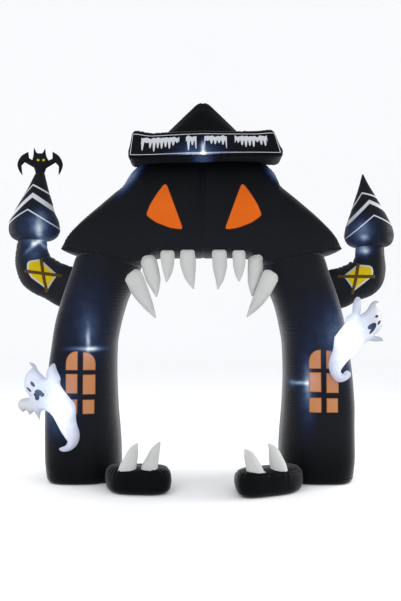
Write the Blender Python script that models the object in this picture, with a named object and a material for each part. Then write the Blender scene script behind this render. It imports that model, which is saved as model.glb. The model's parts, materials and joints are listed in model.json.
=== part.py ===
"""Inflatable walk-through arch, shaped like a haunted house with a toothed mouth for its doorway.

Every piece is cloth: air-filled tubes and boxes, flat stuffed shapes sewn to them, and thin sewn patches.
Units are metres, +Z is up, and the front faces -Y. The origin is on the ground under the middle of the arch.
"""

import math

import bmesh
import bpy
from mathutils import Vector
from mathutils.geometry import delaunay_2d_cdt

# Driving sizes
MID_Y = 0.186  # the legs' and the roof's middle plane, behind the origin because the feet reach forward
SEAM_GAP = 0.0003  # between two pieces that are sewn together
PATCH_THICKNESS = 0.002
OVER_PATCH = 2 * SEAM_GAP + PATCH_THICKNESS  # what lies over a patch stands this far off the patch's carrier
SIDES = {"left": -1, "right": 1}  # which way along X

# Legs. Columns: height, inner edge and outer edge from the middle, half the depth
LEG_ROWS = (
    (0.000, 0.666, 1.164, 0.270),
    (0.010, 0.650, 1.182, 0.288),
    (0.040, 0.639, 1.196, 0.298),
    (0.200, 0.640, 1.212, 0.296),
    (0.550, 0.666, 1.215, 0.288),
    (0.850, 0.677, 1.194, 0.282),
    (1.050, 0.672, 1.168, 0.278),
    (1.220, 0.645, 1.141, 0.277),
    (1.380, 0.603, 1.102, 0.276),
    (1.520, 0.547, 1.056, 0.275),
    (1.630, 0.501, 1.018, 0.273),
    (1.735, 0.474, 0.986, 0.268),
    (1.800, 0.499, 0.940, 0.230),
)
LEG_SHIFT = {"left": 0.0, "right": -0.008}  # along X
LEG_RING, LEG_POWER = 20, 4.0

# Roof. Columns: distance from its middle, underside, top, share of the full depth
ROOF_ROWS = (
    (0.000, 1.752, 3.010, 0.965),
    (0.040, 1.752, 2.998, 0.985),
    (0.110, 1.752, 2.934, 1.000),
    (0.200, 1.752, 2.842, 1.000),
    (0.290, 1.752, 2.746, 1.000),
    (0.360, 1.748, 2.664, 1.000),
    (0.420, 1.722, 2.588, 1.000),
    (0.470, 1.690, 2.520, 1.000),
    (0.510, 1.673, 2.472, 1.000),
    (0.554, 1.670, 2.425, 1.000),
    (0.588, 1.673, 2.365, 1.000),
    (0.608, 1.677, 2.322, 1.000),
    (0.680, 1.692, 2.257, 1.000),
    (0.780, 1.717, 2.169, 1.000),
    (0.880, 1.741, 2.077, 0.990),
    (0.970, 1.760, 1.985, 0.960),
    (1.037, 1.772, 1.901, 0.900),
    (1.080, 1.778, 1.822, 0.780),
)
# Half the roof's depth by height: columns height, half depth
ROOF_DEPTH_ROWS = (
    (1.68, 0.290),
    (1.80, 0.306),
    (1.95, 0.330),
    (2.10, 0.330),
    (2.25, 0.312),
    (2.34, 0.298),
    (2.45, 0.278),
    (2.60, 0.222),
    (2.75, 0.158),
    (2.90, 0.086),
    (3.00, 0.040),
)
# The roof leans a little to the right. Columns: height, how far its middle lies from the arch's middle
ROOF_LEAN_ROWS = (
    (2.25, 0.008),
    (2.40, 0.019),
)
ROOF_BOTTOM_ROUND, ROOF_EDGE_ROUND = 0.080, 0.160
ROOF_ROUND_STEPS = (0.0, 0.07, 0.27, 0.6, 1.0)  # shares of a rounding's height
ROOF_FACE_STEPS = (0.25, 0.5, 0.75)  # shares of the height between the roundings

# Sign box. Columns: x along its bottom, x along its top, bottom, top, share of the full depth
SIGN_ROWS = (
    (-0.540, -0.507, 2.495, 2.606, 0.70),
    (-0.534, -0.503, 2.455, 2.641, 0.92),
    (-0.505, -0.480, 2.443, 2.655, 1.00),
    (-0.380, -0.368, 2.448, 2.636, 1.00),
    (-0.190, -0.188, 2.456, 2.645, 0.99),
    (0.020, 0.020, 2.464, 2.656, 0.96),
    (0.230, 0.226, 2.466, 2.652, 0.99),
    (0.420, 0.408, 2.466, 2.650, 1.00),
    (0.574, 0.518, 2.462, 2.661, 1.00),
    (0.611, 0.544, 2.472, 2.646, 0.92),
    (0.620, 0.548, 2.510, 2.612, 0.70),
)
SIGN_FRONT_Y, SIGN_BACK_Y = MID_Y - 0.500, MID_Y - 0.130
SIGN_RING, SIGN_POWER = 20, 8.0

# Arms. Columns: x, height, half width across the bend, half depth
ARM_ROWS = {
    "left": (
        (-0.985, 1.485, 0.165, 0.140),
        (-1.073, 1.514, 0.168, 0.142),
        (-1.190, 1.568, 0.158, 0.140),
        (-1.296, 1.632, 0.163, 0.136),
        (-1.347, 1.730, 0.142, 0.128),
        (-1.357, 1.820, 0.123, 0.120),
        (-1.353, 1.890, 0.113, 0.112),
        (-1.350, 1.935, 0.102, 0.100),
    ),
    "right": (
        (0.985, 1.475, 0.150, 0.140),
        (1.093, 1.500, 0.162, 0.142),
        (1.203, 1.543, 0.152, 0.140),
        (1.310, 1.597, 0.160, 0.136),
        (1.356, 1.688, 0.133, 0.128),
        (1.363, 1.770, 0.115, 0.120),
        (1.363, 1.835, 0.111, 0.112),
        (1.361, 1.885, 0.100, 0.100),
    ),
}
ARM_RING = 14

# Turret cones. Columns: height, x, radius
CONE_ROWS = {
    "left": (
        (1.886, -1.348, 0.088),
        (1.889, -1.347, 0.124),
        (1.904, -1.344, 0.162),
        (1.934, -1.341, 0.190),
        (1.975, -1.338, 0.202),
        (2.030, -1.339, 0.197),
        (2.118, -1.337, 0.160),
        (2.215, -1.324, 0.121),
        (2.303, -1.312, 0.084),
        (2.392, -1.302, 0.051),
        (2.436, -1.296, 0.034),
        (2.448, -1.294, 0.020),
    ),
    "right": (
        (1.834, 1.364, 0.088),
        (1.837, 1.364, 0.124),
        (1.850, 1.362, 0.158),
        (1.880, 1.359, 0.183),
        (1.925, 1.356, 0.194),
        (1.980, 1.356, 0.187),
        (2.065, 1.351, 0.156),
        (2.150, 1.343, 0.120),
        (2.240, 1.333, 0.081),
        (2.325, 1.323, 0.043),
        (2.390, 1.315, 0.018),
        (2.428, 1.311, 0.004),
    ),
}
CONE_RING = 16

# Foot cushions. Columns: middle x, middle y, half width, half depth, turn of the front and of the sides in degrees
FOOT_ROWS = {
    "left": (-0.465, MID_Y - 0.381, 0.245, 0.240, -3.5, 8.0),
    "right": (0.500, MID_Y - 0.429, 0.273, 0.220, 23.0, 3.0),
}
# A foot's section. Columns: height, how far its edge lies inside its widest outline
FOOT_EDGE_ROWS = (
    (0.000, 0.052),
    (0.010, 0.029),
    (0.037, 0.008),
    (0.084, 0.000),
    (0.134, 0.005),
    (0.164, 0.023),
    (0.180, 0.055),
    (0.189, 0.105),
    (0.193, 0.140),
)
FOOT_RING, FOOT_POWER = 22, 3.5
FOOT_BACK_DROP = 0.26  # share of the height that a foot loses towards its back edge

# Fangs, flat stuffed cloth, from root to tip. Columns: x, height, half width
UPPER_FANGS = (
    (
        (-0.536, 1.618, 0.032),
        (-0.527, 1.606, 0.056),
        (-0.513, 1.581, 0.071),
        (-0.474, 1.493, 0.067),
        (-0.407, 1.373, 0.043),
        (-0.346, 1.270, 0.007),
    ),
    (
        (-0.411, 1.748, 0.020),
        (-0.407, 1.734, 0.046),
        (-0.398, 1.697, 0.063),
        (-0.366, 1.576, 0.058),
        (-0.347, 1.491, 0.032),
        (-0.339, 1.431, 0.007),
    ),
    (
        (-0.253, 1.784, 0.036),
        (-0.253, 1.774, 0.050),
        (-0.253, 1.746, 0.055),
        (-0.251, 1.637, 0.041),
        (-0.255, 1.578, 0.021),
        (-0.261, 1.544, 0.007),
    ),
    (
        (-0.099, 1.788, 0.038),
        (-0.099, 1.777, 0.053),
        (-0.099, 1.752, 0.056),
        (-0.097, 1.705, 0.061),
        (-0.082, 1.589, 0.044),
        (-0.055, 1.492, 0.007),
    ),
    (
        (0.144, 1.788, 0.038),
        (0.144, 1.777, 0.053),
        (0.144, 1.752, 0.057),
        (0.148, 1.664, 0.055),
        (0.147, 1.578, 0.037),
        (0.133, 1.488, 0.007),
    ),
    (
        (0.294, 1.784, 0.034),
        (0.294, 1.774, 0.046),
        (0.294, 1.750, 0.050),
        (0.296, 1.687, 0.048),
        (0.294, 1.604, 0.031),
        (0.294, 1.548, 0.007),
    ),
    (
        (0.421, 1.750, 0.020),
        (0.422, 1.738, 0.044),
        (0.423, 1.718, 0.055),
        (0.423, 1.643, 0.059),
        (0.415, 1.543, 0.051),
        (0.398, 1.436, 0.007),
    ),
    (
        (0.558, 1.616, 0.030),
        (0.550, 1.604, 0.052),
        (0.536, 1.585, 0.066),
        (0.491, 1.491, 0.061),
        (0.433, 1.387, 0.045),
        (0.356, 1.276, 0.007),
    ),
)
LOWER_FANGS = (
    (
        (-0.537, 0.135, 0.060),
        (-0.524, 0.182, 0.061),
        (-0.503, 0.242, 0.050),
        (-0.479, 0.315, 0.034),
        (-0.456, 0.360, 0.008),
    ),
    (
        (-0.371, 0.135, 0.059),
        (-0.366, 0.182, 0.060),
        (-0.350, 0.236, 0.049),
        (-0.322, 0.316, 0.032),
        (-0.293, 0.370, 0.008),
    ),
    (
        (0.411, 0.119, 0.058),
        (0.389, 0.171, 0.059),
        (0.361, 0.249, 0.047),
        (0.339, 0.296, 0.035),
        (0.316, 0.333, 0.008),
    ),
    (
        (0.567, 0.132, 0.060),
        (0.561, 0.180, 0.060),
        (0.541, 0.252, 0.051),
        (0.521, 0.314, 0.036),
        (0.491, 0.360, 0.008),
    ),
)
FANG_HALF_THICKNESS, CORNER_FANG_HALF_THICKNESS, FANG_RING = 0.028, 0.036, 8
FANG_ROUNDNESS = 0.75  # a narrow fang's thickness as a share of its width
CORNER_FANGS = {0: "left", 7: "right"}  # the fangs that hang from a leg's inner edge as well as the roof
# How far each fang's middle lies in front of the legs' middle plane. The big corner fangs hang in front
UPPER_FANG_REACH = (0.250, 0.240, 0.276, 0.278, 0.278, 0.276, 0.230, 0.273)
LOWER_FANG_REACH = (0.557, 0.557, 0.630, 0.564)

# Outline of an eye. Columns: distance from the middle of the face, height
EYE_MIDDLE_X = 0.026
EYE_OUTLINE = (
    (0.288, 2.290),
    (0.302, 2.290),
    (0.358, 2.219),
    (0.412, 2.128),
    (0.440, 2.054),
    (0.434, 2.034),
    (0.360, 1.979),
    (0.253, 1.942),
    (0.180, 1.931),
    (0.170, 1.942),
)

# Leg windows. Columns of a pane: left and right edge from the window's middle, bottom and top above its sill
WINDOW_PLACE = {"left": (-0.915, 0.536), "right": (0.937, 0.548)}  # middle x and sill height
PANES = (
    (-0.110, -0.020, 0.332, 0.476),
    (0.020, 0.112, 0.332, 0.470),
    (-0.110, -0.020, 0.155, 0.304),
    (0.020, 0.112, 0.148, 0.298),
    (-0.110, -0.020, 0.000, 0.112),
    (0.020, 0.106, 0.000, 0.108),
)
TOP_PANES = 2  # the first two panes have the arch's rounded corner
PANE_ARCH_STEPS = 5

# Outline of an arm window. Columns: x, height
ARM_WINDOWS = {
    "left": (
        (-1.364, 1.690),
        (-1.353, 1.710),
        (-1.331, 1.719),
        (-1.264, 1.730),
        (-1.122, 1.604),
        (-1.201, 1.486),
        (-1.331, 1.583),
        (-1.364, 1.637),
    ),
    "right": (
        (1.244, 1.690),
        (1.330, 1.679),
        (1.350, 1.664),
        (1.358, 1.635),
        (1.354, 1.595),
        (1.205, 1.478),
        (1.122, 1.595),
    ),
}
# The two crossed strips over an arm window. Columns: x and height of one end, then of the other
ARM_STRIPS = {
    "left": (
        (-1.260, 1.737, -1.206, 1.470),
        (-1.381, 1.635, -1.088, 1.595),
    ),
    "right": (
        (1.248, 1.695, 1.189, 1.454),
        (1.079, 1.591, 1.370, 1.591),
    ),
}
STRIP_HALF_WIDTH = 0.012

# Flat stuffed shapes. Columns: x, height, True where the seam turns a sharp corner
BAT_OUTLINE = (
    (-1.347, 2.646, True),
    (-1.325, 2.604, False),
    (-1.300, 2.598, False),
    (-1.277, 2.602, False),
    (-1.257, 2.638, True),
    (-1.248, 2.579, False),
    (-1.229, 2.540, True),
    (-1.197, 2.554, True),
    (-1.197, 2.612, True),
    (-1.143, 2.574, False),
    (-1.114, 2.513, False),
    (-1.125, 2.458, False),
    (-1.147, 2.419, True),
    (-1.145, 2.492, True),
    (-1.173, 2.522, True),
    (-1.216, 2.496, False),
    (-1.247, 2.477, True),
    (-1.266, 2.425, True),
    (-1.329, 2.425, True),
    (-1.346, 2.481, True),
    (-1.382, 2.502, False),
    (-1.422, 2.525, True),
    (-1.448, 2.498, True),
    (-1.439, 2.419, True),
    (-1.467, 2.458, False),
    (-1.480, 2.513, False),
    (-1.451, 2.574, False),
    (-1.394, 2.610, True),
    (-1.386, 2.558, True),
    (-1.360, 2.545, True),
    (-1.352, 2.582, False),
)
GHOST_OUTLINES = {
    "left": (
        (-1.296, 0.930, True),
        (-1.252, 0.918, False),
        (-1.226, 0.868, False),
        (-1.167, 0.808, True),
        (-1.152, 0.880, False),
        (-1.106, 0.923, False),
        (-1.083, 0.870, False),
        (-1.058, 0.812, False),
        (-1.054, 0.756, False),
        (-0.990, 0.667, False),
        (-0.944, 0.610, False),
        (-0.936, 0.490, False),
        (-0.910, 0.392, False),
        (-0.926, 0.316, False),
        (-0.978, 0.270, False),
        (-1.040, 0.262, False),
        (-1.062, 0.284, False),
        (-1.016, 0.306, False),
        (-0.999, 0.334, True),
        (-1.056, 0.421, False),
        (-1.114, 0.527, False),
        (-1.172, 0.570, False),
        (-1.204, 0.560, True),
        (-1.212, 0.496, True),
        (-1.254, 0.564, True),
        (-1.285, 0.534, True),
        (-1.312, 0.572, True),
        (-1.340, 0.556, True),
        (-1.374, 0.602, False),
        (-1.356, 0.650, False),
        (-1.282, 0.668, True),
        (-1.326, 0.745, False),
        (-1.318, 0.836, False),
        (-1.272, 0.890, False),
    ),
    "right": (
        (1.352, 1.388, True),
        (1.330, 1.366, False),
        (1.364, 1.296, False),
        (1.378, 1.228, False),
        (1.352, 1.168, False),
        (1.308, 1.134, True),
        (1.366, 1.118, False),
        (1.383, 1.092, True),
        (1.324, 1.087, False),
        (1.262, 1.088, False),
        (1.190, 1.018, False),
        (1.120, 0.952, False),
        (1.060, 0.872, False),
        (1.072, 0.842, True),
        (1.102, 0.868, False),
        (1.132, 0.852, False),
        (1.126, 0.818, False),
        (1.084, 0.788, False),
        (1.034, 0.784, False),
        (0.990, 0.826, False),
        (0.968, 0.894, False),
        (0.976, 0.960, False),
        (1.002, 1.030, False),
        (1.012, 1.120, True),
        (1.091, 1.221, True),
        (1.102, 1.272, False),
        (1.144, 1.302, False),
        (1.156, 1.380, False),
        (1.185, 1.426, False),
        (1.216, 1.396, False),
        (1.208, 1.288, True),
        (1.256, 1.322, False),
        (1.290, 1.376, False),
        (1.322, 1.396, False),
    ),
}
BAT_HALF_THICKNESS, BAT_RIM, BAT_SPACING = 0.022, 0.030, 0.030
GHOST_HALF_THICKNESS, GHOST_RIM, GHOST_SPACING = 0.048, 0.085, 0.052
GHOST_Y = MID_Y - 0.322
PANEL_SEAM = 0.003  # half the thickness of a flat shape at its seam
CUTTER_FRONT_Y = MID_Y - 0.9

# Colours and finish: columns red, green, blue, roughness
FINISHES = {
    "black_polyester": (0.006, 0.007, 0.010, 0.62),
    "black_print": (0.004, 0.005, 0.007, 0.55),
    "light_grey_polyester": (0.62, 0.63, 0.64, 0.60),
    "white_polyester": (0.82, 0.84, 0.90, 0.60),
    "orange_polyester": (0.72, 0.22, 0.05, 0.60),
    "pane_orange_polyester": (0.60, 0.25, 0.06, 0.60),
    "yellow_polyester": (0.68, 0.55, 0.03, 0.60),
    "brown_polyester": (0.16, 0.07, 0.02, 0.70),
}


def clear_scene():
    for old in list(bpy.data.objects):
        bpy.data.objects.remove(old)


def new_collection(name, shown):
    collection = bpy.data.collections.new(name)
    bpy.context.scene.collection.children.link(collection)
    collection.hide_render = not shown
    return collection


def finish(name):
    """The material of this name, made the first time it is asked for."""
    found = bpy.data.materials.get(name)
    if found:
        return found
    red, green, blue, roughness = FINISHES[name]
    made = bpy.data.materials.new(name)
    made.use_nodes = True
    shader = made.node_tree.nodes["Principled BSDF"]
    shader.inputs["Base Color"].default_value = (red, green, blue, 1)
    shader.inputs["Roughness"].default_value = roughness
    shader.inputs["Metallic"].default_value = 0
    made.diffuse_color = (red, green, blue, 1)
    return made


def add_object(name, work, collection, finish_name=None):
    """Puts a bmesh in a new object, as triangles with their faces turned outwards.

    A skin and its grown copies then bend along the same edges, so that they nest at an even distance.
    """
    bmesh.ops.recalc_face_normals(work, faces=work.faces)
    bmesh.ops.triangulate(work, faces=work.faces)
    mesh = bpy.data.meshes.new(name)
    work.to_mesh(mesh)
    work.free()
    made = bpy.data.objects.new(name, mesh)
    collection.objects.link(made)
    if finish_name:
        mesh.materials.append(finish(finish_name))
        mesh.shade_smooth()
        mesh.set_sharp_from_angle(angle=math.radians(50))
    else:
        made.hide_render = True
        made.display_type = "WIRE"
    return made


def loft(name, rings, collection, finish_name=None):
    """A closed skin through rings of equally many points, with a flat face at each end."""
    work = bmesh.new()
    loops = [[work.verts.new(point) for point in ring] for ring in rings]
    count = len(loops[0])
    for lower, upper in zip(loops, loops[1:]):
        for k in range(count):
            after = (k + 1) % count
            work.faces.new((lower[k], lower[after], upper[after], upper[k]))
    work.faces.new(loops[0])
    work.faces.new(list(reversed(loops[-1])))
    return add_object(name, work, collection, finish_name)


def rounded_box(count, half_u, half_v, power):
    """Points round a soft-cornered rectangle: power 2 is an ellipse, and more is squarer."""
    points = []
    for k in range(count):
        angle = 2 * math.pi * (k + 0.5) / count
        across, along = math.cos(angle), math.sin(angle)
        points.append(
            (
                half_u * math.copysign(abs(across) ** (2 / power), across),
                half_v * math.copysign(abs(along) ** (2 / power), along),
            )
        )
    return points


def rounding(share, power=2.6):
    """How far out a rounded edge stands, from 0 at its rim to 1 where the flat side starts."""
    inward = 1 - min(max(share, 0.0), 1.0)
    return (1 - inward**power) ** (1 / power)


def between(value, rows):
    """The second column of a table at a value of its first, on straight lines between its rows."""
    for (low, first), (high, second) in zip(rows, rows[1:]):
        if value <= high:
            return first + (second - first) * max(value - low, 0) / (high - low)
    return rows[-1][1]


def smooth_outline(rows, steps):
    """A closed curve through the rows' points, with straight tangents broken at the sharp ones."""
    points = [Vector((x, z)) for x, z, _ in rows]
    sharp = [corner for _, _, corner in rows]
    count = len(points)
    outline = []
    for k in range(count):
        start, end = points[k], points[(k + 1) % count]
        before, after = points[k - 1], points[(k + 2) % count]
        leave = (end - start) if sharp[k] else (end - before) / 2
        arrive = (end - start) if sharp[(k + 1) % count] else (after - start) / 2
        for step in range(steps):
            t = step / steps
            outline.append(
                start * (2 * t**3 - 3 * t**2 + 1)
                + leave * (t**3 - 2 * t**2 + t)
                + end * (3 * t**2 - 2 * t**3)
                + arrive * (t**3 - t**2)
            )
    return outline


def edge_distance(point, outline):
    """From a point to the nearest stretch of a closed outline."""
    nearest = math.inf
    for start, end in zip(outline, outline[1:] + outline[:1]):
        side = end - start
        share = min(max((point - start).dot(side) / side.length_squared, 0), 1)
        nearest = min(nearest, (point - start - side * share).length)
    return nearest


def is_inside(point, outline):
    inside = False
    for start, end in zip(outline, outline[1:] + outline[:1]):
        if (start.y > point.y) != (end.y > point.y):
            crossing = start.x + (point.y - start.y) / (end.y - start.y) * (end.x - start.x)
            inside ^= point.x < crossing
    return inside


def stuffed_panel(name, outline, y, half_thickness, rim, spacing, collection, finish_name):
    """Two layers of cloth sewn along an outline in the XZ plane and stuffed, so that the middle crowns."""
    inner = []
    low_x, high_x = min(p.x for p in outline), max(p.x for p in outline)
    low_z, high_z = min(p.y for p in outline), max(p.y for p in outline)
    for row in range(int((high_z - low_z) / spacing) + 1):
        for column in range(int((high_x - low_x) / spacing) + 2):
            point = Vector((low_x + (column + 0.5 * (row % 2)) * spacing, low_z + (row + 0.5) * spacing))
            if is_inside(point, outline) and edge_distance(point, outline) > spacing * 0.35:
                inner.append(point)
    count = len(outline)
    seams = [(k, (k + 1) % count) for k in range(count)]
    points, _, faces, _, _, _ = delaunay_2d_cdt(outline + inner, seams, [], 1, 1e-6)
    work = bmesh.new()
    layers = []
    for direction in (-1, 1):
        layer = []
        for place, point in enumerate(points):
            crown = 0 if place < count else half_thickness * rounding(edge_distance(point, outline) / rim, 2)
            layer.append(work.verts.new((point.x, y + direction * (PANEL_SEAM + crown), point.y)))
        layers.append(layer)
        for face in faces:
            work.faces.new([layer[k] for k in face])
    front, back = layers
    for start, end in seams:
        work.faces.new((front[start], front[end], back[end], back[start]))
    return add_object(name, work, collection, finish_name)


def tube(name, rows, y, count, collection, finish_name):
    """A tube along a path in the XZ plane. Columns: x, height, half width across the path, half depth."""
    rings = []
    for place, (x, z, half_width, half_depth) in enumerate(rows):
        before, after = rows[max(place - 1, 0)], rows[min(place + 1, len(rows) - 1)]
        along = Vector((after[0] - before[0], after[1] - before[1])).normalized()
        ring = []
        for across, deep in rounded_box(count, half_width, half_depth, 2):
            ring.append((x + along.y * across, y + deep, z - along.x * across))
        rings.append(ring)
    return loft(name, rings, collection, finish_name)


def boolean(piece, operation, cutter):
    modifier = piece.modifiers.new(f"{operation.lower()} {cutter.name}", "BOOLEAN")
    modifier.operation = operation
    modifier.solver = "EXACT"
    modifier.object = cutter


def grown(piece, distance, cutters):
    """A hidden copy of a piece whose skin stands this far outside it."""
    name = f"{piece.name} plus {distance * 1000:.1f} mm"
    found = bpy.data.objects.get(name)
    if found:
        return found
    made = bpy.data.objects.new(name, piece.data)
    cutters.objects.link(made)
    made.hide_render = True
    made.display_type = "WIRE"
    offset = made.modifiers.new("offset", "DISPLACE")
    offset.strength = distance
    offset.mid_level = 0
    return made


def seat(piece, carrier, cutters, gap=SEAM_GAP):
    """Shapes a piece to the carrier that it is sewn to, a seam's gap away."""
    boolean(piece, "DIFFERENCE", grown(carrier, gap, cutters))


def prism(name, outline, collection, finish_name=None):
    """An outline in the XZ plane, run from well in front of the arch to its middle plane."""
    rings = [[(x, y, z) for x, z in outline] for y in (CUTTER_FRONT_Y, MID_Y)]
    return loft(name, rings, collection, finish_name)


def sew_patch(patch, carrier, lift, cutters):
    """Makes a prism into the thin patch that lies on the carrier's front, its back this far off the skin."""
    boolean(patch, "INTERSECT", grown(carrier, lift + PATCH_THICKNESS, cutters))
    boolean(patch, "DIFFERENCE", grown(carrier, lift, cutters))


def make_leg(side_name, parts):
    rings = []
    for z, inner, outer, half_depth in LEG_ROWS:
        middle_x = SIDES[side_name] * (inner + outer) / 2 + LEG_SHIFT[side_name]
        ring = []
        for across, deep in rounded_box(LEG_RING, (outer - inner) / 2, half_depth, LEG_POWER):
            ring.append((middle_x + across, MID_Y + deep, z))
        rings.append(ring)
    return loft(f"leg_{side_name}", rings, parts, "black_polyester")


def roof_ring(from_middle, underside, top, depth_share):
    """One upright slice of the roof, from its underside up the front to the top and down the back."""
    height = top - underside
    bottom_round = min(ROOF_BOTTOM_ROUND, 0.35 * height)
    edge_round = min(ROOF_EDGE_ROUND, 0.35 * height)
    face = height - bottom_round - edge_round
    levels = [underside + bottom_round * share for share in ROOF_ROUND_STEPS]
    levels += [underside + bottom_round + face * share for share in ROOF_FACE_STEPS]
    levels += [top - edge_round * share for share in reversed(ROOF_ROUND_STEPS)]
    front, back = [], []
    for z in levels:
        half_depth = between(z, ROOF_DEPTH_ROWS) * depth_share
        half_depth *= rounding((z - underside) / bottom_round) * rounding((top - z) / edge_round)
        x = from_middle + between(z, ROOF_LEAN_ROWS)
        front.append((x, MID_Y - half_depth, z))
        back.append((x, MID_Y + half_depth, z))
    return front + back[-2:0:-1]


def make_roof(parts):
    left_half = [(-distance, *rest) for distance, *rest in reversed(ROOF_ROWS[1:])]
    rings = [roof_ring(*row) for row in left_half + list(ROOF_ROWS)]
    return loft("roof", rings, parts, "black_polyester")


def make_sign(parts):
    middle_y, half_depth = (SIGN_FRONT_Y + SIGN_BACK_Y) / 2, (SIGN_BACK_Y - SIGN_FRONT_Y) / 2
    rings = []
    for bottom_x, top_x, bottom, top, share in SIGN_ROWS:
        ring = []
        for deep, up in rounded_box(SIGN_RING, half_depth * share, (top - bottom) / 2, SIGN_POWER):
            z = (bottom + top) / 2 + up
            x = between(z, ((bottom, bottom_x), (top, top_x)))
            ring.append((x, middle_y + deep, z))
        rings.append(ring)
    return loft("sign_box", rings, parts, "black_polyester")


def make_cone(side_name, parts):
    rings = []
    for z, x, radius in CONE_ROWS[side_name]:
        rings.append([(x + u, MID_Y + v, z) for u, v in rounded_box(CONE_RING, radius, radius, 2)])
    return loft(f"cone_{side_name}", rings, parts, "black_polyester")


def make_foot(side_name, parts):
    middle_x, middle_y, half_width, half_depth, front_turn, side_turn = FOOT_ROWS[side_name]
    front_x, front_y = math.cos(math.radians(front_turn)), math.sin(math.radians(front_turn))
    side_x, side_y = -math.sin(math.radians(side_turn)), math.cos(math.radians(side_turn))
    rings = []
    for z, inset in FOOT_EDGE_ROWS:
        ring = []
        for u, v in rounded_box(FOOT_RING, half_width - inset, half_depth - inset, FOOT_POWER):
            slope = 1 - FOOT_BACK_DROP * rounding((v / half_depth + 0.2) / 1.2, 1)
            x, y = middle_x + u * front_x + v * side_x, middle_y + u * front_y + v * side_y
            ring.append((x, y, z * slope))
        rings.append(ring)
    return loft(f"foot_{side_name}", rings, parts, "black_polyester")


def make_fang(name, rows, y, half_thickness, parts):
    shaped = [(x, z, half, min(half_thickness, FANG_ROUNDNESS * half)) for x, z, half in rows]
    return tube(name, shaped, y, FANG_RING, parts, "light_grey_polyester")


def pane_outline(left, right, bottom, top, arch_side):
    """A pane's corners from below anticlockwise. An arch side of -1 or 1 rounds that upper corner."""
    corners = [(left, bottom), (right, bottom)]
    if not arch_side:
        return corners + [(right, top), (left, top)]
    width, drop = right - left, (top - bottom) * 0.62
    curve = []
    for step in range(PANE_ARCH_STEPS + 1):
        angle = math.pi / 2 * step / PANE_ARCH_STEPS
        reach = width * (1 - 0.12) * math.cos(angle) + width * 0.12
        curve.append((reach, top - drop + drop * math.sin(angle)))
    if arch_side > 0:
        return corners + [(left + u, z) for u, z in curve] + [(left, top)]
    return corners + [(right, top)] + [(right - u, z) for u, z in reversed(curve)]


def make_panes(side_name, leg, parts, cutters):
    middle_x, sill = WINDOW_PLACE[side_name]
    for place, (left, right, bottom, top) in enumerate(PANES):
        arch_side = 0 if place >= TOP_PANES else (-1, 1)[place]
        outline = [(middle_x + x, sill + z) for x, z in pane_outline(left, right, bottom, top, arch_side)]
        pane = prism(f"pane_{side_name}_{place + 1}", outline, parts, "pane_orange_polyester")
        sew_patch(pane, leg, SEAM_GAP, cutters)


def strip_outline(start_x, start_z, end_x, end_z):
    along = Vector((end_x - start_x, end_z - start_z)).normalized()
    over_x, over_z = -along.y * STRIP_HALF_WIDTH, along.x * STRIP_HALF_WIDTH
    return [
        (start_x + over_x, start_z + over_z),
        (start_x - over_x, start_z - over_z),
        (end_x - over_x, end_z - over_z),
        (end_x + over_x, end_z + over_z),
    ]


def make_arm_window(side_name, arm, parts, cutters):
    window = prism(f"arm_window_{side_name}", ARM_WINDOWS[side_name], parts, "yellow_polyester")
    sew_patch(window, arm, SEAM_GAP, cutters)
    first, second = (strip_outline(*strip) for strip in ARM_STRIPS[side_name])
    cross = prism(f"arm_cross_{side_name}", first, parts, "brown_polyester")
    # The crossing strip starts a little further back, so that no two faces of the union lie in one plane
    other = prism(f"second strip {side_name}", second, cutters)
    other.location.y = 0.01
    boolean(cross, "UNION", other)
    sew_patch(cross, arm, OVER_PATCH, cutters)


def make_eyes(roof, parts, cutters):
    for side_name, side in SIDES.items():
        outline = [(EYE_MIDDLE_X + side * x, z) for x, z in EYE_OUTLINE]
        eye = prism(f"eye_{side_name}", outline, parts, "orange_polyester")
        sew_patch(eye, roof, SEAM_GAP, cutters)


def main():
    clear_scene()
    parts = new_collection("inflatable_arch", True)
    cutters = new_collection("cutters", False)

    roof = make_roof(parts)
    sign = make_sign(parts)
    seat(sign, roof, cutters)
    make_eyes(roof, parts, cutters)

    legs = {}
    for side_name in SIDES:
        leg = legs[side_name] = make_leg(side_name, parts)
        seat(leg, roof, cutters)
        make_panes(side_name, leg, parts, cutters)

        cone = make_cone(side_name, parts)
        arm = tube(f"arm_{side_name}", ARM_ROWS[side_name], MID_Y, ARM_RING, parts, "black_polyester")
        seat(arm, leg, cutters)
        seat(arm, cone, cutters)
        make_arm_window(side_name, arm, parts, cutters)

        outline = smooth_outline(GHOST_OUTLINES[side_name], 2)
        ghost = stuffed_panel(
            f"ghost_{side_name}",
            outline,
            GHOST_Y,
            GHOST_HALF_THICKNESS,
            GHOST_RIM,
            GHOST_SPACING,
            parts,
            "white_polyester",
        )
        seat(ghost, leg, cutters, OVER_PATCH)

        foot = make_foot(side_name, parts)
        seat(foot, leg, cutters)
        first = 0 if side_name == "left" else 2
        for place in (first, first + 1):
            name = f"fang_lower_{place + 1}"
            y = MID_Y - LOWER_FANG_REACH[place]
            fang = make_fang(name, LOWER_FANGS[place], y, FANG_HALF_THICKNESS, parts)
            seat(fang, foot, cutters)

    for place, rows in enumerate(UPPER_FANGS):
        y = MID_Y - UPPER_FANG_REACH[place]
        half_thickness = CORNER_FANG_HALF_THICKNESS if place in CORNER_FANGS else FANG_HALF_THICKNESS
        fang = make_fang(f"fang_upper_{place + 1}", rows, y, half_thickness, parts)
        seat(fang, roof, cutters)
        if place in CORNER_FANGS:
            seat(fang, legs[CORNER_FANGS[place]], cutters)

    bat = stuffed_panel(
        "bat",
        smooth_outline(BAT_OUTLINE, 2),
        MID_Y,
        BAT_HALF_THICKNESS,
        BAT_RIM,
        BAT_SPACING,
        parts,
        "black_polyester",
    )
    seat(bat, bpy.data.objects["cone_left"], cutters)


main()
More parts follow.
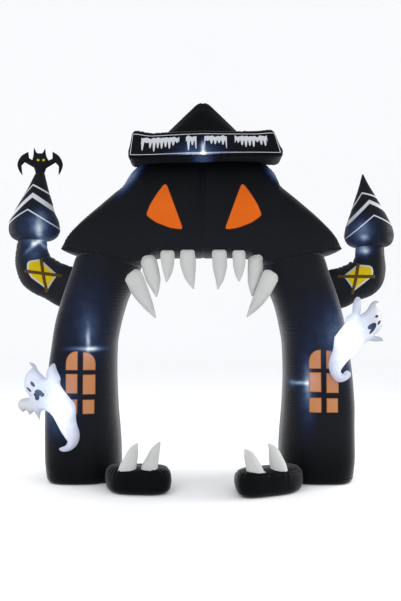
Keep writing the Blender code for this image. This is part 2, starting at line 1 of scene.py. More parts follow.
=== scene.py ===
"""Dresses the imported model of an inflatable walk-through arch, a haunted house with a toothed mouth.

Every piece is cloth, blown up, stuffed or sewn on. Each is made again here as a fine skin, with the puckers
that its seams draw, and gets the finish of its cloth: woven polyester, dyed or printed, and lit from inside
by small lamps. Units are metres, +Z is up, and the front faces -Y.
"""

import json
import math

import bmesh
import bpy
import numpy as np
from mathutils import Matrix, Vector, noise
from mathutils.bvhtree import BVHTree
from mathutils.geometry import delaunay_2d_cdt

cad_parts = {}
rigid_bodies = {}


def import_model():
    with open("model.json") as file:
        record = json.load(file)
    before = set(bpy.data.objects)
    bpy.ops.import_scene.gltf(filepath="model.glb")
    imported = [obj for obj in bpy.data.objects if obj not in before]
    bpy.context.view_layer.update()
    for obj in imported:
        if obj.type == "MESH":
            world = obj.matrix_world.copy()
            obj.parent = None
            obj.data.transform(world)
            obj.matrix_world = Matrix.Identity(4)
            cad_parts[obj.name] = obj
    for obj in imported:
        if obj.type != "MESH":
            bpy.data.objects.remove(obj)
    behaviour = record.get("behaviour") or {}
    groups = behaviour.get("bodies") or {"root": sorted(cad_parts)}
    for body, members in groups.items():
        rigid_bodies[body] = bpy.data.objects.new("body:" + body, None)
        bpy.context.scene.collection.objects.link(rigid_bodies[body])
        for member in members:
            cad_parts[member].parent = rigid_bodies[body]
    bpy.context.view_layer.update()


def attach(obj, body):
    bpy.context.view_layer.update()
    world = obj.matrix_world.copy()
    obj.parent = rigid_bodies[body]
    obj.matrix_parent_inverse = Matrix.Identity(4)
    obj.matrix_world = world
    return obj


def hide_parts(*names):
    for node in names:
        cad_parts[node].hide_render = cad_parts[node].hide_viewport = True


bl_info = {
    "name": "Inflatable arch",
    "version": (1, 0, 0),
    "blender": (4, 5, 0),
    "location": "3D View > Sidebar > Arch",
    "description": "Dresses the packed model of an inflatable walk-through arch in its cloth",
    "category": "Object",
}

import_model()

# Driving sizes
MID_Y = 0.186  # the legs' and the roof's middle plane, behind the origin because the feet reach forward
SEAM_GAP = 0.0003  # between two pieces that are sewn together
OVER_PATCH = 0.0026  # what lies over a patch stands this far off the patch's carrier
SIDES = {"left": -1, "right": 1}  # which way along X

# Legs. Columns: height, inner edge and outer edge from the middle, half the depth
LEG_ROWS = (
    (0.000, 0.666, 1.164, 0.270),
    (0.010, 0.650, 1.182, 0.288),
    (0.040, 0.639, 1.196, 0.298),
    (0.200, 0.640, 1.212, 0.296),
    (0.550, 0.666, 1.215, 0.288),
    (0.850, 0.677, 1.194, 0.282),
    (1.050, 0.672, 1.168, 0.278),
    (1.220, 0.645, 1.141, 0.277),
    (1.380, 0.603, 1.102, 0.276),
    (1.520, 0.547, 1.056, 0.275),
    (1.630, 0.501, 1.018, 0.273),
    (1.735, 0.474, 0.986, 0.268),
    (1.800, 0.499, 0.940, 0.230),
)
LEG_SHIFT = {"left": 0.0, "right": -0.008}  # along X
LEG_POWER = 4.0  # how square a section's corners are, here and for the sign and the feet: 2 is an ellipse
LEG_BASE_HEIGHTS = (0.0, 0.0015, 0.004, 0.007)  # close rows where the leg rounds on to the floor
LEG_INNER_SEAM_X = 0.9  # a seam nearer the middle than this is on the leg's inner side
LEG_FOLD_START, LEG_FOLD_END, LEG_FOLD_FADE = 0.004, 1.70, 0.05  # the folds' ends, and how slowly they fade

# Roof. Columns: distance from its middle, underside, top, share of the full depth
ROOF_ROWS = (
    (0.000, 1.752, 3.010, 0.965),
    (0.040, 1.752, 2.998, 0.985),
    (0.110, 1.752, 2.934, 1.000),
    (0.200, 1.752, 2.842, 1.000),
    (0.290, 1.752, 2.746, 1.000),
    (0.360, 1.748, 2.664, 1.000),
    (0.420, 1.722, 2.588, 1.000),
    (0.470, 1.690, 2.520, 1.000),
    (0.510, 1.673, 2.472, 1.000),
    (0.554, 1.670, 2.425, 1.000),
    (0.588, 1.673, 2.365, 1.000),
    (0.608, 1.677, 2.322, 1.000),
    (0.680, 1.692, 2.257, 1.000),
    (0.780, 1.717, 2.169, 1.000),
    (0.880, 1.741, 2.077, 0.990),
    (0.970, 1.757, 1.985, 0.960),
    (1.037, 1.775, 1.899, 0.890),
    (1.070, 1.789, 1.834, 0.790),
    (1.086, 1.798, 1.806, 0.730),
)
# Half the roof's depth by height: columns height, half depth
ROOF_DEPTH_ROWS = (
    (1.68, 0.290),
    (1.80, 0.306),
    (1.95, 0.330),
    (2.10, 0.330),
    (2.25, 0.312),
    (2.34, 0.298),
    (2.45, 0.278),
    (2.60, 0.222),
    (2.75, 0.158),
    (2.90, 0.086),
    (3.00, 0.040),
)
# The roof leans a little to the right. Columns: height, how far its middle lies from the arch's middle
ROOF_LEAN_ROWS = (
    (2.25, 0.008),
    (2.40, 0.019),
)
ROOF_BOTTOM_ROUND, ROOF_EDGE_ROUND = 0.080, 0.160
ROOF_ROUND_SHARE = 0.35  # of the roof's height, the most that either rounded edge takes up

# Sign box. Columns: x along its bottom, x along its top, bottom, top, share of the full depth
SIGN_ROWS = (
    (-0.540, -0.507, 2.495, 2.606, 0.70),
    (-0.534, -0.503, 2.455, 2.641, 0.92),
    (-0.505, -0.480, 2.443, 2.655, 1.00),
    (-0.380, -0.368, 2.448, 2.636, 1.00),
    (-0.190, -0.188, 2.456, 2.645, 0.99),
    (0.020, 0.020, 2.464, 2.656, 0.96),
    (0.230, 0.226, 2.466, 2.652, 0.99),
    (0.420, 0.408, 2.466, 2.650, 1.00),
    (0.574, 0.518, 2.462, 2.661, 1.00),
    (0.611, 0.544, 2.472, 2.646, 0.92),
    (0.620, 0.548, 2.510, 2.612, 0.70),
)
SIGN_FRONT_Y, SIGN_BACK_Y = MID_Y - 0.500, MID_Y - 0.130
SIGN_POWER = 8.0

# Arms. Columns: x, height, half width across the bend, half depth
ARM_ROWS = {
    "left": (
        (-0.985, 1.485, 0.165, 0.140),
        (-1.073, 1.514, 0.168, 0.142),
        (-1.190, 1.568, 0.158, 0.140),
        (-1.296, 1.632, 0.163, 0.136),
        (-1.347, 1.730, 0.142, 0.128),
        (-1.357, 1.820, 0.123, 0.120),
        (-1.353, 1.890, 0.113, 0.112),
        (-1.350, 1.935, 0.102, 0.100),
    ),
    "right": (
        (0.985, 1.475, 0.150, 0.140),
        (1.093, 1.500, 0.162, 0.142),
        (1.203, 1.543, 0.152, 0.140),
        (1.310, 1.597, 0.160, 0.136),
        (1.356, 1.688, 0.133, 0.128),
        (1.363, 1.770, 0.115, 0.120),
        (1.363, 1.835, 0.111, 0.112),
        (1.361, 1.885, 0.100, 0.100),
    ),
}

# Turret cones. Columns: height, x, radius
CONE_ROWS = {
    "left": (
        (1.886, -1.348, 0.088),
        (1.889, -1.347, 0.124),
        (1.904, -1.344, 0.162),
        (1.934, -1.341, 0.190),
        (1.975, -1.338, 0.202),
        (2.030, -1.339, 0.197),
        (2.118, -1.337, 0.160),
        (2.215, -1.324, 0.121),
        (2.303, -1.312, 0.084),
        (2.392, -1.302, 0.051),
        (2.436, -1.296, 0.034),
        (2.448, -1.294, 0.020),
    ),
    "right": (
        (1.834, 1.364, 0.088),
        (1.837, 1.364, 0.124),
        (1.850, 1.362, 0.158),
        (1.880, 1.359, 0.183),
        (1.925, 1.356, 0.194),
        (1.980, 1.356, 0.187),
        (2.065, 1.351, 0.156),
        (2.150, 1.343, 0.120),
        (2.240, 1.333, 0.081),
        (2.325, 1.323, 0.043),
        (2.390, 1.315, 0.018),
        (2.428, 1.311, 0.004),
    ),
}

CONE_GATHERS = 46  # round a turret's rim

# Feet. Columns: middle x, middle y, half width, half depth, turn of the front and of the sides in degrees
FOOT_ROWS = {
    "left": (-0.465, MID_Y - 0.381, 0.245, 0.240, -3.5, 8.0),
    "right": (0.500, MID_Y - 0.429, 0.273, 0.220, 23.0, 3.0),
}
# A foot's section. Columns: height, how far its edge lies inside its widest outline
FOOT_EDGE_ROWS = (
    (0.000, 0.052),
    (0.010, 0.029),
    (0.037, 0.008),
    (0.084, 0.000),
    (0.134, 0.005),
    (0.164, 0.023),
    (0.180, 0.055),
    (0.189, 0.105),
    (0.193, 0.140),
)
FOOT_TOP_ROWS = ((0.165, 0.1925), (0.185, 0.1915), (0.205, 0.1910))  # then over its top, as inset and height
FOOT_SEAM_HEIGHT = 0.158
FOOT_POWER = 3.5
FOOT_BACK_DROP = 0.26  # share of the height that a foot loses towards its back edge
FOOT_DROP_START = -0.2  # the share of its half depth where a foot's top starts to fall towards the back
FOOT_HOLLOW = 0.010  # how far the top sinks where the fangs are sewn on
FOOT_HOLLOW_START, FOOT_HOLLOW_REACH = 0.09, 0.08  # inside the foot's widest outline
FOOT_FOLD_START, FOOT_FOLD_FADE = 0.004, 0.03  # the height where a foot's folds start, and how slowly

# Fangs, flat stuffed cloth, from root to tip. Columns: x, height, half width
UPPER_FANGS = (
    (
        (-0.536, 1.618, 0.032),
        (-0.527, 1.606, 0.056),
        (-0.513, 1.581, 0.071),
        (-0.474, 1.493, 0.067),
        (-0.407, 1.373, 0.043),
        (-0.346, 1.270, 0.007),
    ),
    (
        (-0.411, 1.748, 0.020),
        (-0.407, 1.734, 0.046),
        (-0.398, 1.697, 0.063),
        (-0.366, 1.576, 0.058),
        (-0.347, 1.491, 0.032),
        (-0.339, 1.431, 0.007),
    ),
    (
        (-0.253, 1.784, 0.036),
        (-0.253, 1.774, 0.050),
        (-0.253, 1.746, 0.055),
        (-0.251, 1.637, 0.041),
        (-0.255, 1.578, 0.021),
        (-0.261, 1.544, 0.007),
    ),
    (
        (-0.099, 1.788, 0.038),
        (-0.099, 1.777, 0.053),
        (-0.099, 1.752, 0.056),
        (-0.097, 1.705, 0.061),
        (-0.082, 1.589, 0.044),
        (-0.055, 1.492, 0.007),
    ),
    (
        (0.144, 1.788, 0.038),
        (0.144, 1.777, 0.053),
        (0.144, 1.752, 0.057),
        (0.148, 1.664, 0.055),
        (0.147, 1.578, 0.037),
        (0.133, 1.488, 0.007),
    ),
    (
        (0.294, 1.784, 0.034),
        (0.294, 1.774, 0.046),
        (0.294, 1.750, 0.050),
        (0.296, 1.687, 0.048),
        (0.294, 1.604, 0.031),
        (0.294, 1.548, 0.007),
    ),
    (
        (0.421, 1.750, 0.020),
        (0.422, 1.738, 0.044),
        (0.423, 1.718, 0.055),
        (0.423, 1.643, 0.059),
        (0.415, 1.543, 0.051),
        (0.398, 1.436, 0.007),
    ),
    (
        (0.558, 1.616, 0.030),
        (0.550, 1.604, 0.052),
        (0.536, 1.585, 0.066),
        (0.491, 1.491, 0.061),
        (0.433, 1.387, 0.045),
        (0.356, 1.276, 0.007),
    ),
)
LOWER_FANGS = (
    (
        (-0.537, 0.135, 0.060),
        (-0.524, 0.182, 0.061),
        (-0.503, 0.242, 0.050),
        (-0.479, 0.315, 0.034),
        (-0.456, 0.360, 0.008),
    ),
    (
        (-0.371, 0.135, 0.059),
        (-0.366, 0.182, 0.060),
        (-0.350, 0.236, 0.049),
        (-0.322, 0.316, 0.032),
        (-0.293, 0.370, 0.008),
    ),
    (
        (0.411, 0.119, 0.058),
        (0.389, 0.171, 0.059),
        (0.361, 0.249, 0.047),
        (0.339, 0.296, 0.035),
        (0.316, 0.333, 0.008),
    ),
    (
        (0.567, 0.132, 0.060),
        (0.561, 0.180, 0.060),
        (0.541, 0.252, 0.051),
        (0.521, 0.314, 0.036),
        (0.491, 0.360, 0.008),
    ),
)
FANG_HALF_THICKNESS, CORNER_FANG_HALF_THICKNESS = 0.028, 0.036
FANG_RIM_REACH, FANG_RIM_SHARE = 1.9, 0.9  # a fang's rounded rim, in half thicknesses and in half widths
CORNER_FANGS = {0: "left", 7: "right"}  # the fangs that hang from a leg's inner edge as well as the roof
# How far each fang's middle lies in front of the legs' middle plane. The big corner fangs hang in front
UPPER_FANG_REACH = (0.250, 0.240, 0.276, 0.278, 0.278, 0.276, 0.230, 0.273)
LOWER_FANG_REACH = (0.557, 0.557, 0.630, 0.564)

# Outline of an eye. Columns: distance from the middle of the face, height
EYE_MIDDLE_X = 0.026
EYE_OUTLINE = (
    (0.282, 2.288),
    (0.307, 2.288),
    (0.357, 2.218),
    (0.411, 2.128),
    (0.440, 2.054),
    (0.430, 2.032),
    (0.360, 1.984),
    (0.253, 1.944),
    (0.172, 1.933),
    (0.158, 1.948),
    (0.216, 2.108),
)
EYE_ROUNDINGS = (0.014, 0.006)  # how far its corners are cut off, first and once more

# Leg windows. Columns of a pane: left and right edge from the window's middle, bottom and top above its sill
WINDOW_PLACE = {"left": (-0.915, 0.536), "right": (0.937, 0.548)}  # middle x and sill height
PANES = (
    (-0.110, -0.020, 0.332, 0.476),
    (0.020, 0.112, 0.332, 0.470),
    (-0.110, -0.020, 0.155, 0.304),
    (0.020, 0.112, 0.148, 0.298),
    (-0.110, -0.020, 0.000, 0.112),
    (0.020, 0.106, 0.000, 0.108),
)
TOP_PANES = 2  # the first two panes have the arch's rounded corner
PANE_ARCH_STEPS = 5
PANE_ARCH_DROP, PANE_ARCH_FLAT = 0.62, 0.12  # the arch's share of the height, the flat top's of the width

# Outline of an arm window. Columns: x, height
ARM_WINDOWS = {
    "left": (
        (-1.364, 1.690),
        (-1.353, 1.710),
        (-1.331, 1.719),
        (-1.264, 1.730),
        (-1.122, 1.604),
        (-1.201, 1.486),
        (-1.331, 1.583),
        (-1.364, 1.637),
    ),
    "right": (
        (1.244, 1.690),
        (1.330, 1.679),
        (1.350, 1.664),
        (1.358, 1.635),
        (1.354, 1.595),
        (1.205, 1.478),
        (1.122, 1.595),
    ),
}
# The two crossed strips over an arm window. Columns: x and height of one end, then of the other
ARM_STRIPS = {
    "left": (
        (-1.260, 1.737, -1.206, 1.470),
        (-1.381, 1.635, -1.088, 1.595),
    ),
    "right": (
        (1.248, 1.695, 1.189, 1.454),
        (1.079, 1.591, 1.370, 1.591),
    ),
}
STRIP_HALF_WIDTH, STRIP_STEP = 0.012, 0.008
EYE_HEM, PANE_HEM, ARM_WINDOW_HEM = 0.0045, 0.005, 0.014

# Flat stuffed shapes. Columns: x, height, True where the seam turns a sharp corner
BAT_OUTLINE = (
    (-1.347, 2.646, True),
    (-1.325, 2.604, False),
    (-1.300, 2.598, False),
    (-1.277, 2.602, False),
    (-1.257, 2.638, True),
    (-1.248, 2.579, False),
    (-1.229, 2.540, True),
    (-1.197, 2.554, True),
    (-1.197, 2.612, True),
    (-1.143, 2.574, False),
    (-1.114, 2.513, False),
    (-1.125, 2.458, False),
    (-1.147, 2.419, True),
    (-1.145, 2.492, True),
    (-1.173, 2.522, True),
    (-1.216, 2.496, False),
    (-1.247, 2.477, True),
    (-1.266, 2.425, True),
    (-1.329, 2.425, True),
    (-1.346, 2.481, True),
    (-1.382, 2.502, False),
    (-1.422, 2.525, True),
    (-1.448, 2.498, True),
    (-1.439, 2.419, True),
    (-1.467, 2.458, False),
    (-1.480, 2.513, False),
    (-1.451, 2.574, False),
    (-1.394, 2.610, True),
    (-1.386, 2.558, True),
    (-1.360, 2.545, True),
    (-1.352, 2.582, False),
)
GHOST_OUTLINES = {
    "left": (
        (-1.296, 0.930, True),
        (-1.252, 0.918, False),
        (-1.226, 0.868, False),
        (-1.167, 0.808, True),
        (-1.152, 0.880, False),
        (-1.106, 0.923, False),
        (-1.083, 0.870, False),
        (-1.058, 0.812, False),
        (-1.054, 0.756, False),
        (-0.990, 0.667, False),
        (-0.944, 0.610, False),
        (-0.936, 0.490, False),
        (-0.910, 0.392, False),
        (-0.926, 0.316, False),
        (-0.978, 0.270, False),
        (-1.040, 0.262, False),
        (-1.062, 0.284, False),
        (-1.016, 0.306, False),
        (-0.999, 0.334, True),
        (-1.056, 0.421, False),
        (-1.114, 0.527, False),
        (-1.172, 0.570, False),
        (-1.204, 0.560, True),
        (-1.212, 0.496, True),
        (-1.254, 0.564, True),
        (-1.285, 0.534, True),
        (-1.312, 0.572, True),
        (-1.340, 0.556, True),
        (-1.374, 0.602, False),
        (-1.356, 0.650, False),
        (-1.282, 0.668, True),
        (-1.326, 0.745, False),
        (-1.318, 0.836, False),
        (-1.272, 0.890, False),
    ),
    "right": (
        (1.352, 1.388, True),
        (1.330, 1.366, False),
        (1.364, 1.296, False),
        (1.378, 1.228, False),
        (1.352, 1.168, False),
        (1.308, 1.134, True),
        (1.366, 1.118, False),
        (1.383, 1.092, True),
        (1.324, 1.087, False),
        (1.262, 1.088, False),
        (1.190, 1.018, False),
        (1.120, 0.952, False),
        (1.060, 0.872, False),
        (1.072, 0.842, True),
        (1.102, 0.868, False),
        (1.132, 0.852, False),
        (1.126, 0.818, False),
        (1.084, 0.788, False),
        (1.034, 0.784, False),
        (0.990, 0.826, False),
        (0.968, 0.894, False),
        (0.976, 0.960, False),
        (1.002, 1.030, False),
        (1.012, 1.120, True),
        (1.091, 1.221, True),
        (1.102, 1.272, False),
        (1.144, 1.302, False),
        (1.156, 1.380, False),
        (1.185, 1.426, False),
        (1.216, 1.396, False),
        (1.208, 1.288, True),
        (1.256, 1.322, False),
        (1.290, 1.376, False),
        (1.322, 1.396, False),
    ),
}
BAT_HALF_THICKNESS, BAT_RIM = 0.022, 0.030
GHOST_HALF_THICKNESS, GHOST_RIM = 0.048, 0.085
GHOST_Y = MID_Y - 0.322
PANEL_SEAM = 0.003  # half the thickness of a flat shape at its seam

# Prints. A turret's chevrons: peak's x and height, half the line's height, fall to the left and to the right
TURRET_PRINTS = {
    "cone_left": (
        (-1.337, 2.329, 0.0070, 1.20, 0.54),
        (-1.329, 2.239, 0.0210, 0.95, 0.665),
        (-1.354, 2.116, 0.0060, 0.615, 0.606),
    ),
    "cone_right": (
        (1.290, 2.264, 0.0070, 1.64, 0.275),
        (1.337, 2.187, 0.0170, 1.03, 0.42),
        (1.361, 2.071, 0.0060, 0.85, 0.417),
    ),
}
# A ghost's eyes and mouth, as ellipses: middle x and height, half its sizes, turn in degrees
GHOST_PRINTS = {
    "ghost_left": (
        (-1.2545, 0.7704, 0.0242, 0.0121, 50),
        (-1.2847, 0.7289, 0.0249, 0.0094, 45),
        (-1.2077, 0.7069, 0.0317, 0.0227, 20),
        (-1.182, 0.6926, 0.0166, 0.0166, 0),
        (-1.2198, 0.6722, 0.0181, 0.0227, 0),
        (-1.2289, 0.6926, 0.0189, 0.0151, 0),
    ),
    "ghost_right": (
        (1.3225, 1.2772, 0.0144, 0.0094, -20),
        (1.3414, 1.2311, 0.0204, 0.0094, -55),
        (1.2847, 1.2047, 0.037, 0.0189, -30),
        (1.2915, 1.179, 0.0415, 0.0121, -54),
    ),
}
BAT_EYES = ((-1.308, 2.538, 0.011, 0.009, 20), (-1.264, 2.538, 0.011, 0.009, -20))
SIGN_MAP = "sign_face"
SIGN_FACE = (1.14, 0.19)  # the face's length and height along the cloth
FRAME_INSET, FRAME_TOP_INSET, FRAME_HALF_WIDTH = 0.018, 0.030, 0.0022
DRIP_PITCH, DRIP_HALF_WIDTH = 0.029, 0.0092
DRIP_BAND, DRIP_LENGTHS = (0.112, 0.142), (0.006, 0.078)
DRIP_WAVE = 0.020  # how much the band's upper edge rises and falls
DRIP_GROUPS = ((0.09, 0.38), (0.43, 0.51), (0.57, 0.74), (0.80, 1.05))

# Lamps inside, as spots and streaks: middle x and height, half its sizes, turn in degrees, brightness
LAMPS = {
    "leg_left": (
        (-0.834, 1.029, 0.046, 0.017, 0, 0.5),
        (-0.872, 1.031, 0.107, 0.015, 0, 0.32),
        (-0.857, 1.09, 0.015, 0.084, 0, 0.5),
        (-0.857, 1.174, 0.061, 0.168, 0, 0.085),
        (-0.872, 1.235, 0.168, 0.335, 0, 0.036),
        (-1.085, 0.603, 0.107, 0.168, 0, 0.2),
    ),
    "leg_right": (
        (0.818, 0.77, 0.021, 0.02, 0, 0.5),
        (0.773, 0.768, 0.061, 0.014, 0, 0.42),
        (0.712, 0.768, 0.023, 0.034, 0, 0.1),
        (0.818, 0.763, 0.021, 0.114, 0, 0.26),
        (0.818, 0.732, 0.053, 0.228, 0, 0.12),
        (1.1, 1.113, 0.152, 0.213, 0, 0.2),
        (0.834, 1.212, 0.152, 0.305, 0, 0.012),
    ),
    "roof": (
        (-0.546, 2.327, 0.035, 0.108, 37, 0.26),
        (0.569, 2.373, 0.035, 0.062, -37, 0.22),
    ),
    "sign_face": (
        (0.018, 2.477, 0.02, 0.019, 0, 0.75),
        (-0.004, 2.473, 0.11, 0.012, 0, 0.5),
        (0.018, 2.471, 0.219, 0.011, 0, 0.16),
        (0.018, 2.507, 0.014, 0.051, 0, 0.7),
        (-0.004, 2.492, 0.131, 0.058, 0, 0.14),
    ),
    "sign_box": (
        (0.018, 2.463, 0.066, 0.022, 0, 0.12),
    ),
    "arm_left": (
        (-1.317, 1.855, 0.02, 0.02, 0, 0.55),
        (-1.301, 1.855, 0.083, 0.014, -45, 0.45),
        (-1.262, 1.852, 0.043, 0.013, 45, 0.32),
        (-1.286, 1.95, 0.031, 0.039, 0, 0.55),
        (-1.294, 1.911, 0.102, 0.055, 0, 0.2),
        (-1.317, 1.8, 0.063, 0.11, 0, 0.1),
    ),
    "arm_right": (
        (1.301, 1.797, 0.031, 0.024, 0, 0.5),
        (1.297, 1.84, 0.024, 0.063, 0, 0.2),
        (1.278, 1.879, 0.079, 0.094, 0, 0.14),
    ),
    "cone_left": (
        (-1.263, 1.955, 0.023, 0.062, 0, 0.42),
        (-1.259, 2.009, 0.046, 0.093, 0, 0.22),
        (-1.29, 1.978, 0.132, 0.101, 0, 0.085),
    ),
    "cone_right": (
        (1.282, 1.893, 0.027, 0.025, 0, 0.34),
        (1.266, 1.947, 0.05, 0.07, 0, 0.14),
        (1.259, 1.955, 0.108, 0.093, 0, 0.07),
    ),
    "ghost_left": (
        (-1.054, 0.585, 0.113, 0.257, 0, 0.8),
        (-1.243, 0.797, 0.106, 0.106, 0, 0.22),
    ),
    "ghost_right": (
        (1.099, 1.099, 0.128, 0.242, 0, 0.85),
    ),
    "pane": (
        (-1.085, 0.603, 0.145, 0.213, 0, 0.22),
        (1.1, 1.06, 0.168, 0.259, 0, 0.16),
        (-0.857, 1.037, 0.091, 0.091, 0, 0.16),
        (0.818, 0.778, 0.069, 0.091, 0, 0.16),
    ),
}
# Lamps' light spread evenly inside a piece: the height where it is gone, where it is full, and its strength
HAZE = {
    "leg_left": (0.12, 0.38, 0.0082),
    "leg_right": (0.12, 0.38, 0.0088),
    "roof": (2.45, 1.85, 0.0115),
    "sign_face": (2.0, 2.1, 0.0030),
    "sign_box": (2.0, 2.1, 0.0015),
    "arm_left": (1.0, 1.1, 0.0160),
    "arm_right": (1.0, 1.1, 0.0110),
    "cone_left": (1.0, 1.1, 0.0110),
    "cone_right": (1.0, 1.1, 0.0110),
    "bat": (2.0, 2.1, 0.0080),
}
HAZE_COLOUR, NO_HAZE = (0.68, 0.76, 1.00), (0.0, 1.0, 0.0)
LAMP_POWERS = (1.6, 1.35)  # how much faster than blue the lamps' red and green fade
LAMP_UNEVENNESS = (0.72, 1.22)  # how much the wrinkles dim and raise the lamps' light
FAR_DEEP = 1000  # half the depth of a spot, which looks alike on the front and the back

# Finish of the cloth
BLACK_PIECES = (
    "leg_left",
    "leg_right",
    "roof",
    "sign_box",
    "sign_face",
    "arm_left",
    "arm_right",
    "cone_left",
    "cone_right",
    "foot",
    "bat",
)
# Shares of the sheen: the legs and feet are of a rougher cloth than the other black pieces
SHEEN_SHARES = {"leg_left": 1.0, "leg_right": 1.0, "foot": 0.35}
BLACK_SHEEN_SHARE, BRIGHT_SHEEN_SHARE = 0.05, 0.25
BLACK_MOTTLE, BRIGHT_MOTTLE = 0.15, 0.04  # unevenness of the dye
BLACK_ROUGHNESS, BRIGHT_ROUGHNESS, ROUGHNESS_SPREAD = 0.46, 0.60, 0.06
POLYESTER_IOR, SHEEN_ROUGHNESS = 1.5, 0.40
BRIGHT_CRINKLE_SHARE = 0.6  # the other cloths lie flatter than the black one
BLOTCH_SIZE, CRINKLE_SIZE, CREASE_DEPTH = 0.16, 0.055, 0.006
THREAD_PITCH, THREAD_DEPTH, THREAD_STRENGTH = 0.010, 0.0006, 0.12
WAVE_LENGTH = 0.314  # of the wave texture at scale 1
NOISE_LOW, NOISE_HIGH = 0.3, 0.7  # most of a noise's values lie between these
# Painted shade: a ghost is coloured greyer towards its seam, where its stuffed crown falls back
GHOST_SHADE = (GHOST_Y - 0.040, GHOST_Y - 0.008)  # a ghost's edge shade starts and is full at these depths

# How full the pieces are: blown up hard, blown up as boxes and cushions, and stuffed flat
HARD_FILL, SOFT_FILL, FLAT_FILL = 0.95, 0.9, 0.8

# Stage
PHOTO_SIZE = (401, 601)
SENSOR_HEIGHT = 36  # millimetres
FLOOR_FRONT, FLOOR_BACK, FLOOR_TURN, WALL_TOP, FLOOR_HALF_WIDTH = -16.0, 14.0, 4.0, 18.0, 24.0
FLOOR_TURN_STEPS = 24
# A light's place, where it points and its size. The side lights' x is turned round for the left one
FRONT_LIGHT = ((-1.5, -5.5, 5.0), (0, 0, 1.4), (4.0, 3.0))
SIDE_LIGHT = ((5.0, 1.0, 2.0), (0, 0, 1.2), (3.0, 3.5))
SIDE_LIGHT_SHARES = {"left": 0.4, "right": 0.85}

# Fineness of the skins
INNER_EDGE_POWER = 2.3  # a leg's front edge towards the passage is rounder than its other edges
RING_STEPS = {"leg": (38, 44), "sign": (26, 22), "foot": (40, 40)}  # points along a section's sides
RING_SAMPLES = 161  # points that measure the run of a section's side
CORNER_DENSITY = 0.5  # how much closer a section's points lie near its corners: 0 is evenly
ROW_STEP = {"leg": 0.0045, "roof": 0.0055, "sign": 0.007, "arm": 0.005, "cone": 0.005, "foot": 0.006}
ARM_COUNT, CONE_COUNT = 72, 108
ROOF_BOTTOM_STEPS, ROOF_FACE_COUNT, ROOF_TOP_STEPS = 16, 40, 14
ROOF_BOTTOM_SEAM_STEP = 5  # the seam lies this many points before the face
EDGE_POWER = 2.6  # how full a rounded edge is: 2 is a quarter circle
SHAPE_SPACING = {"ghost": 0.0075, "bat": 0.0060, "fang": 0.0060}
PATCH_SPACING = 0.012
# Shares of a flat shape's spacing: from row to row, kept clear of its edges, and along a patch's edge
ROW_SHARE, EDGE_CLEAR, OUTLINE_SHARE = 0.87, 0.45, 0.7
OUTLINE_STEPS = 6  # points between two rows of a smooth outline
FANG_STEP = 0.006
STUFFING_ROUNDS = 14  # how often a stuffed shape's crown is eased
# The rows that close an end. Columns: share of its reach, size
END_SCALES = ((0.35, 0.94), (0.65, 0.78), (0.87, 0.55), (0.97, 0.30), (1.00, 0.10))
ROOF_END_REACH, SIGN_END_REACH = 0.006, 0.004

# Folds that the seams draw: their depth, and how far they reach from the seam. A pitch leads to the next fold
PUCKER_PITCH, CLUSTER_SIZE = 0.0255, 0.11
MEAN_STRENGTH, STRENGTH_SPREAD, STRENGTH_RANGE = 0.55, 2.1, (0.18, 1.8)  # from cluster to cluster
DRIFT, DRIFT_SIZE = 1.7, 0.16  # how many pitches the folds wander along the seam, and over what length
CREASE_LEVEL = 0.72  # the part of a fold that lies inside the smooth skin
LEG_INNER_PUCKERS, LEG_OUTER_PUCKERS = (0.0080, 0.11), (0.0035, 0.055)
ROOF_PUCKERS, ROOF_MIDDLE_PUCKERS = (0.0085, 0.055), (0.0035, 0.045)
SIGN_PUCKERS, SIGN_PITCH = (0.0042, 0.035), 0.034
ARM_PUCKERS, ARM_PITCH = (1.0, 0.075), 0.036
ARM_DEPTH, ARM_BEND_DEPTH = 0.0035, 0.006  # of its folds everywhere, and what the inside of the bend adds
ARM_BEND_PLACE, ARM_BEND_REACH = 0.42, 0.16  # share of the arm's length, and a length
CONE_PUCKERS = (0.0070, 0.045)
FOOT_PUCKERS, FOOT_PITCH = (0.0100, 0.045), 0.028
# Valleys that the stitches draw: depth and width
LEG_BACK_VALLEY, ROOF_VALLEY, SIGN_VALLEY = (0.004, 0.006), (0.004, 0.006), (0.003, 0.006)
NO_VALLEY, ROOF_MIDDLE_VALLEY, FOOT_VALLEY = (0.0, 0.006), (0.007, 0.014), (0.005, 0.007)
# Swells where a piece is filled unevenly: height, size, and the seed of its random values
SWELLS = {
    "leg": (0.003, 0.22, 5),
    "roof": (0.004, 0.30, 11),
    "sign": (0.0035, 0.13, 17),
    "arm": (0.003, 0.12, 23),
    "cone": (0.002, 0.09, 29),
    "foot": (0.004, 0.10, 41),
}
CONE_SWELL_RADIUS = 0.08  # a cone's swells fade where it is thinner than this
ROOF_MIDDLE_SEED, CONE_SEED, FOOT_SEED, LOWER_FANG_SEED, GHOST_SEED, BAT_SEED = 3, 31, 37, 20, 61, 71
SHAPE_PUCKER_DEPTH, SHAPE_PUCKER_REACH = 0.0022, 0.016
PATCH_CLOTH, PATCH_EDGE = 0.0012, 0.004  # a patch's cloth, and the width over which its edge thins
PATCH_EDGE_SHARE = 0.35  # of its thickness, at the very edge
TIE = 0.0002  # a carrier's faces as near as this to the nearest one are weighed with it
LAYER_CLOTH = 0.0015  # between the two layers of a shape where they are pressed flat
PATCH_FRONT_Y = MID_Y - 1.0  # in front of every piece that carries a patch
SEED_STEP = 7.31  # how far apart in the noise two seeds lie
MOST_CUT = 0.25  # the share of a side that a rounded corner takes up at most
TINY = 1e-12


# Placing points on the tables' curves


def curve(t, start, leave, end, arrive):
    """Points from start to end at shares t, on a curve that leaves and arrives along these tangents."""
    return (
        start * (2 * t**3 - 3 * t**2 + 1)
        + leave * (t**3 - 2 * t**2 + t)
        + end * (3 * t**2 - 2 * t**3)
        + arrive * (t**3 - t**2)
    )


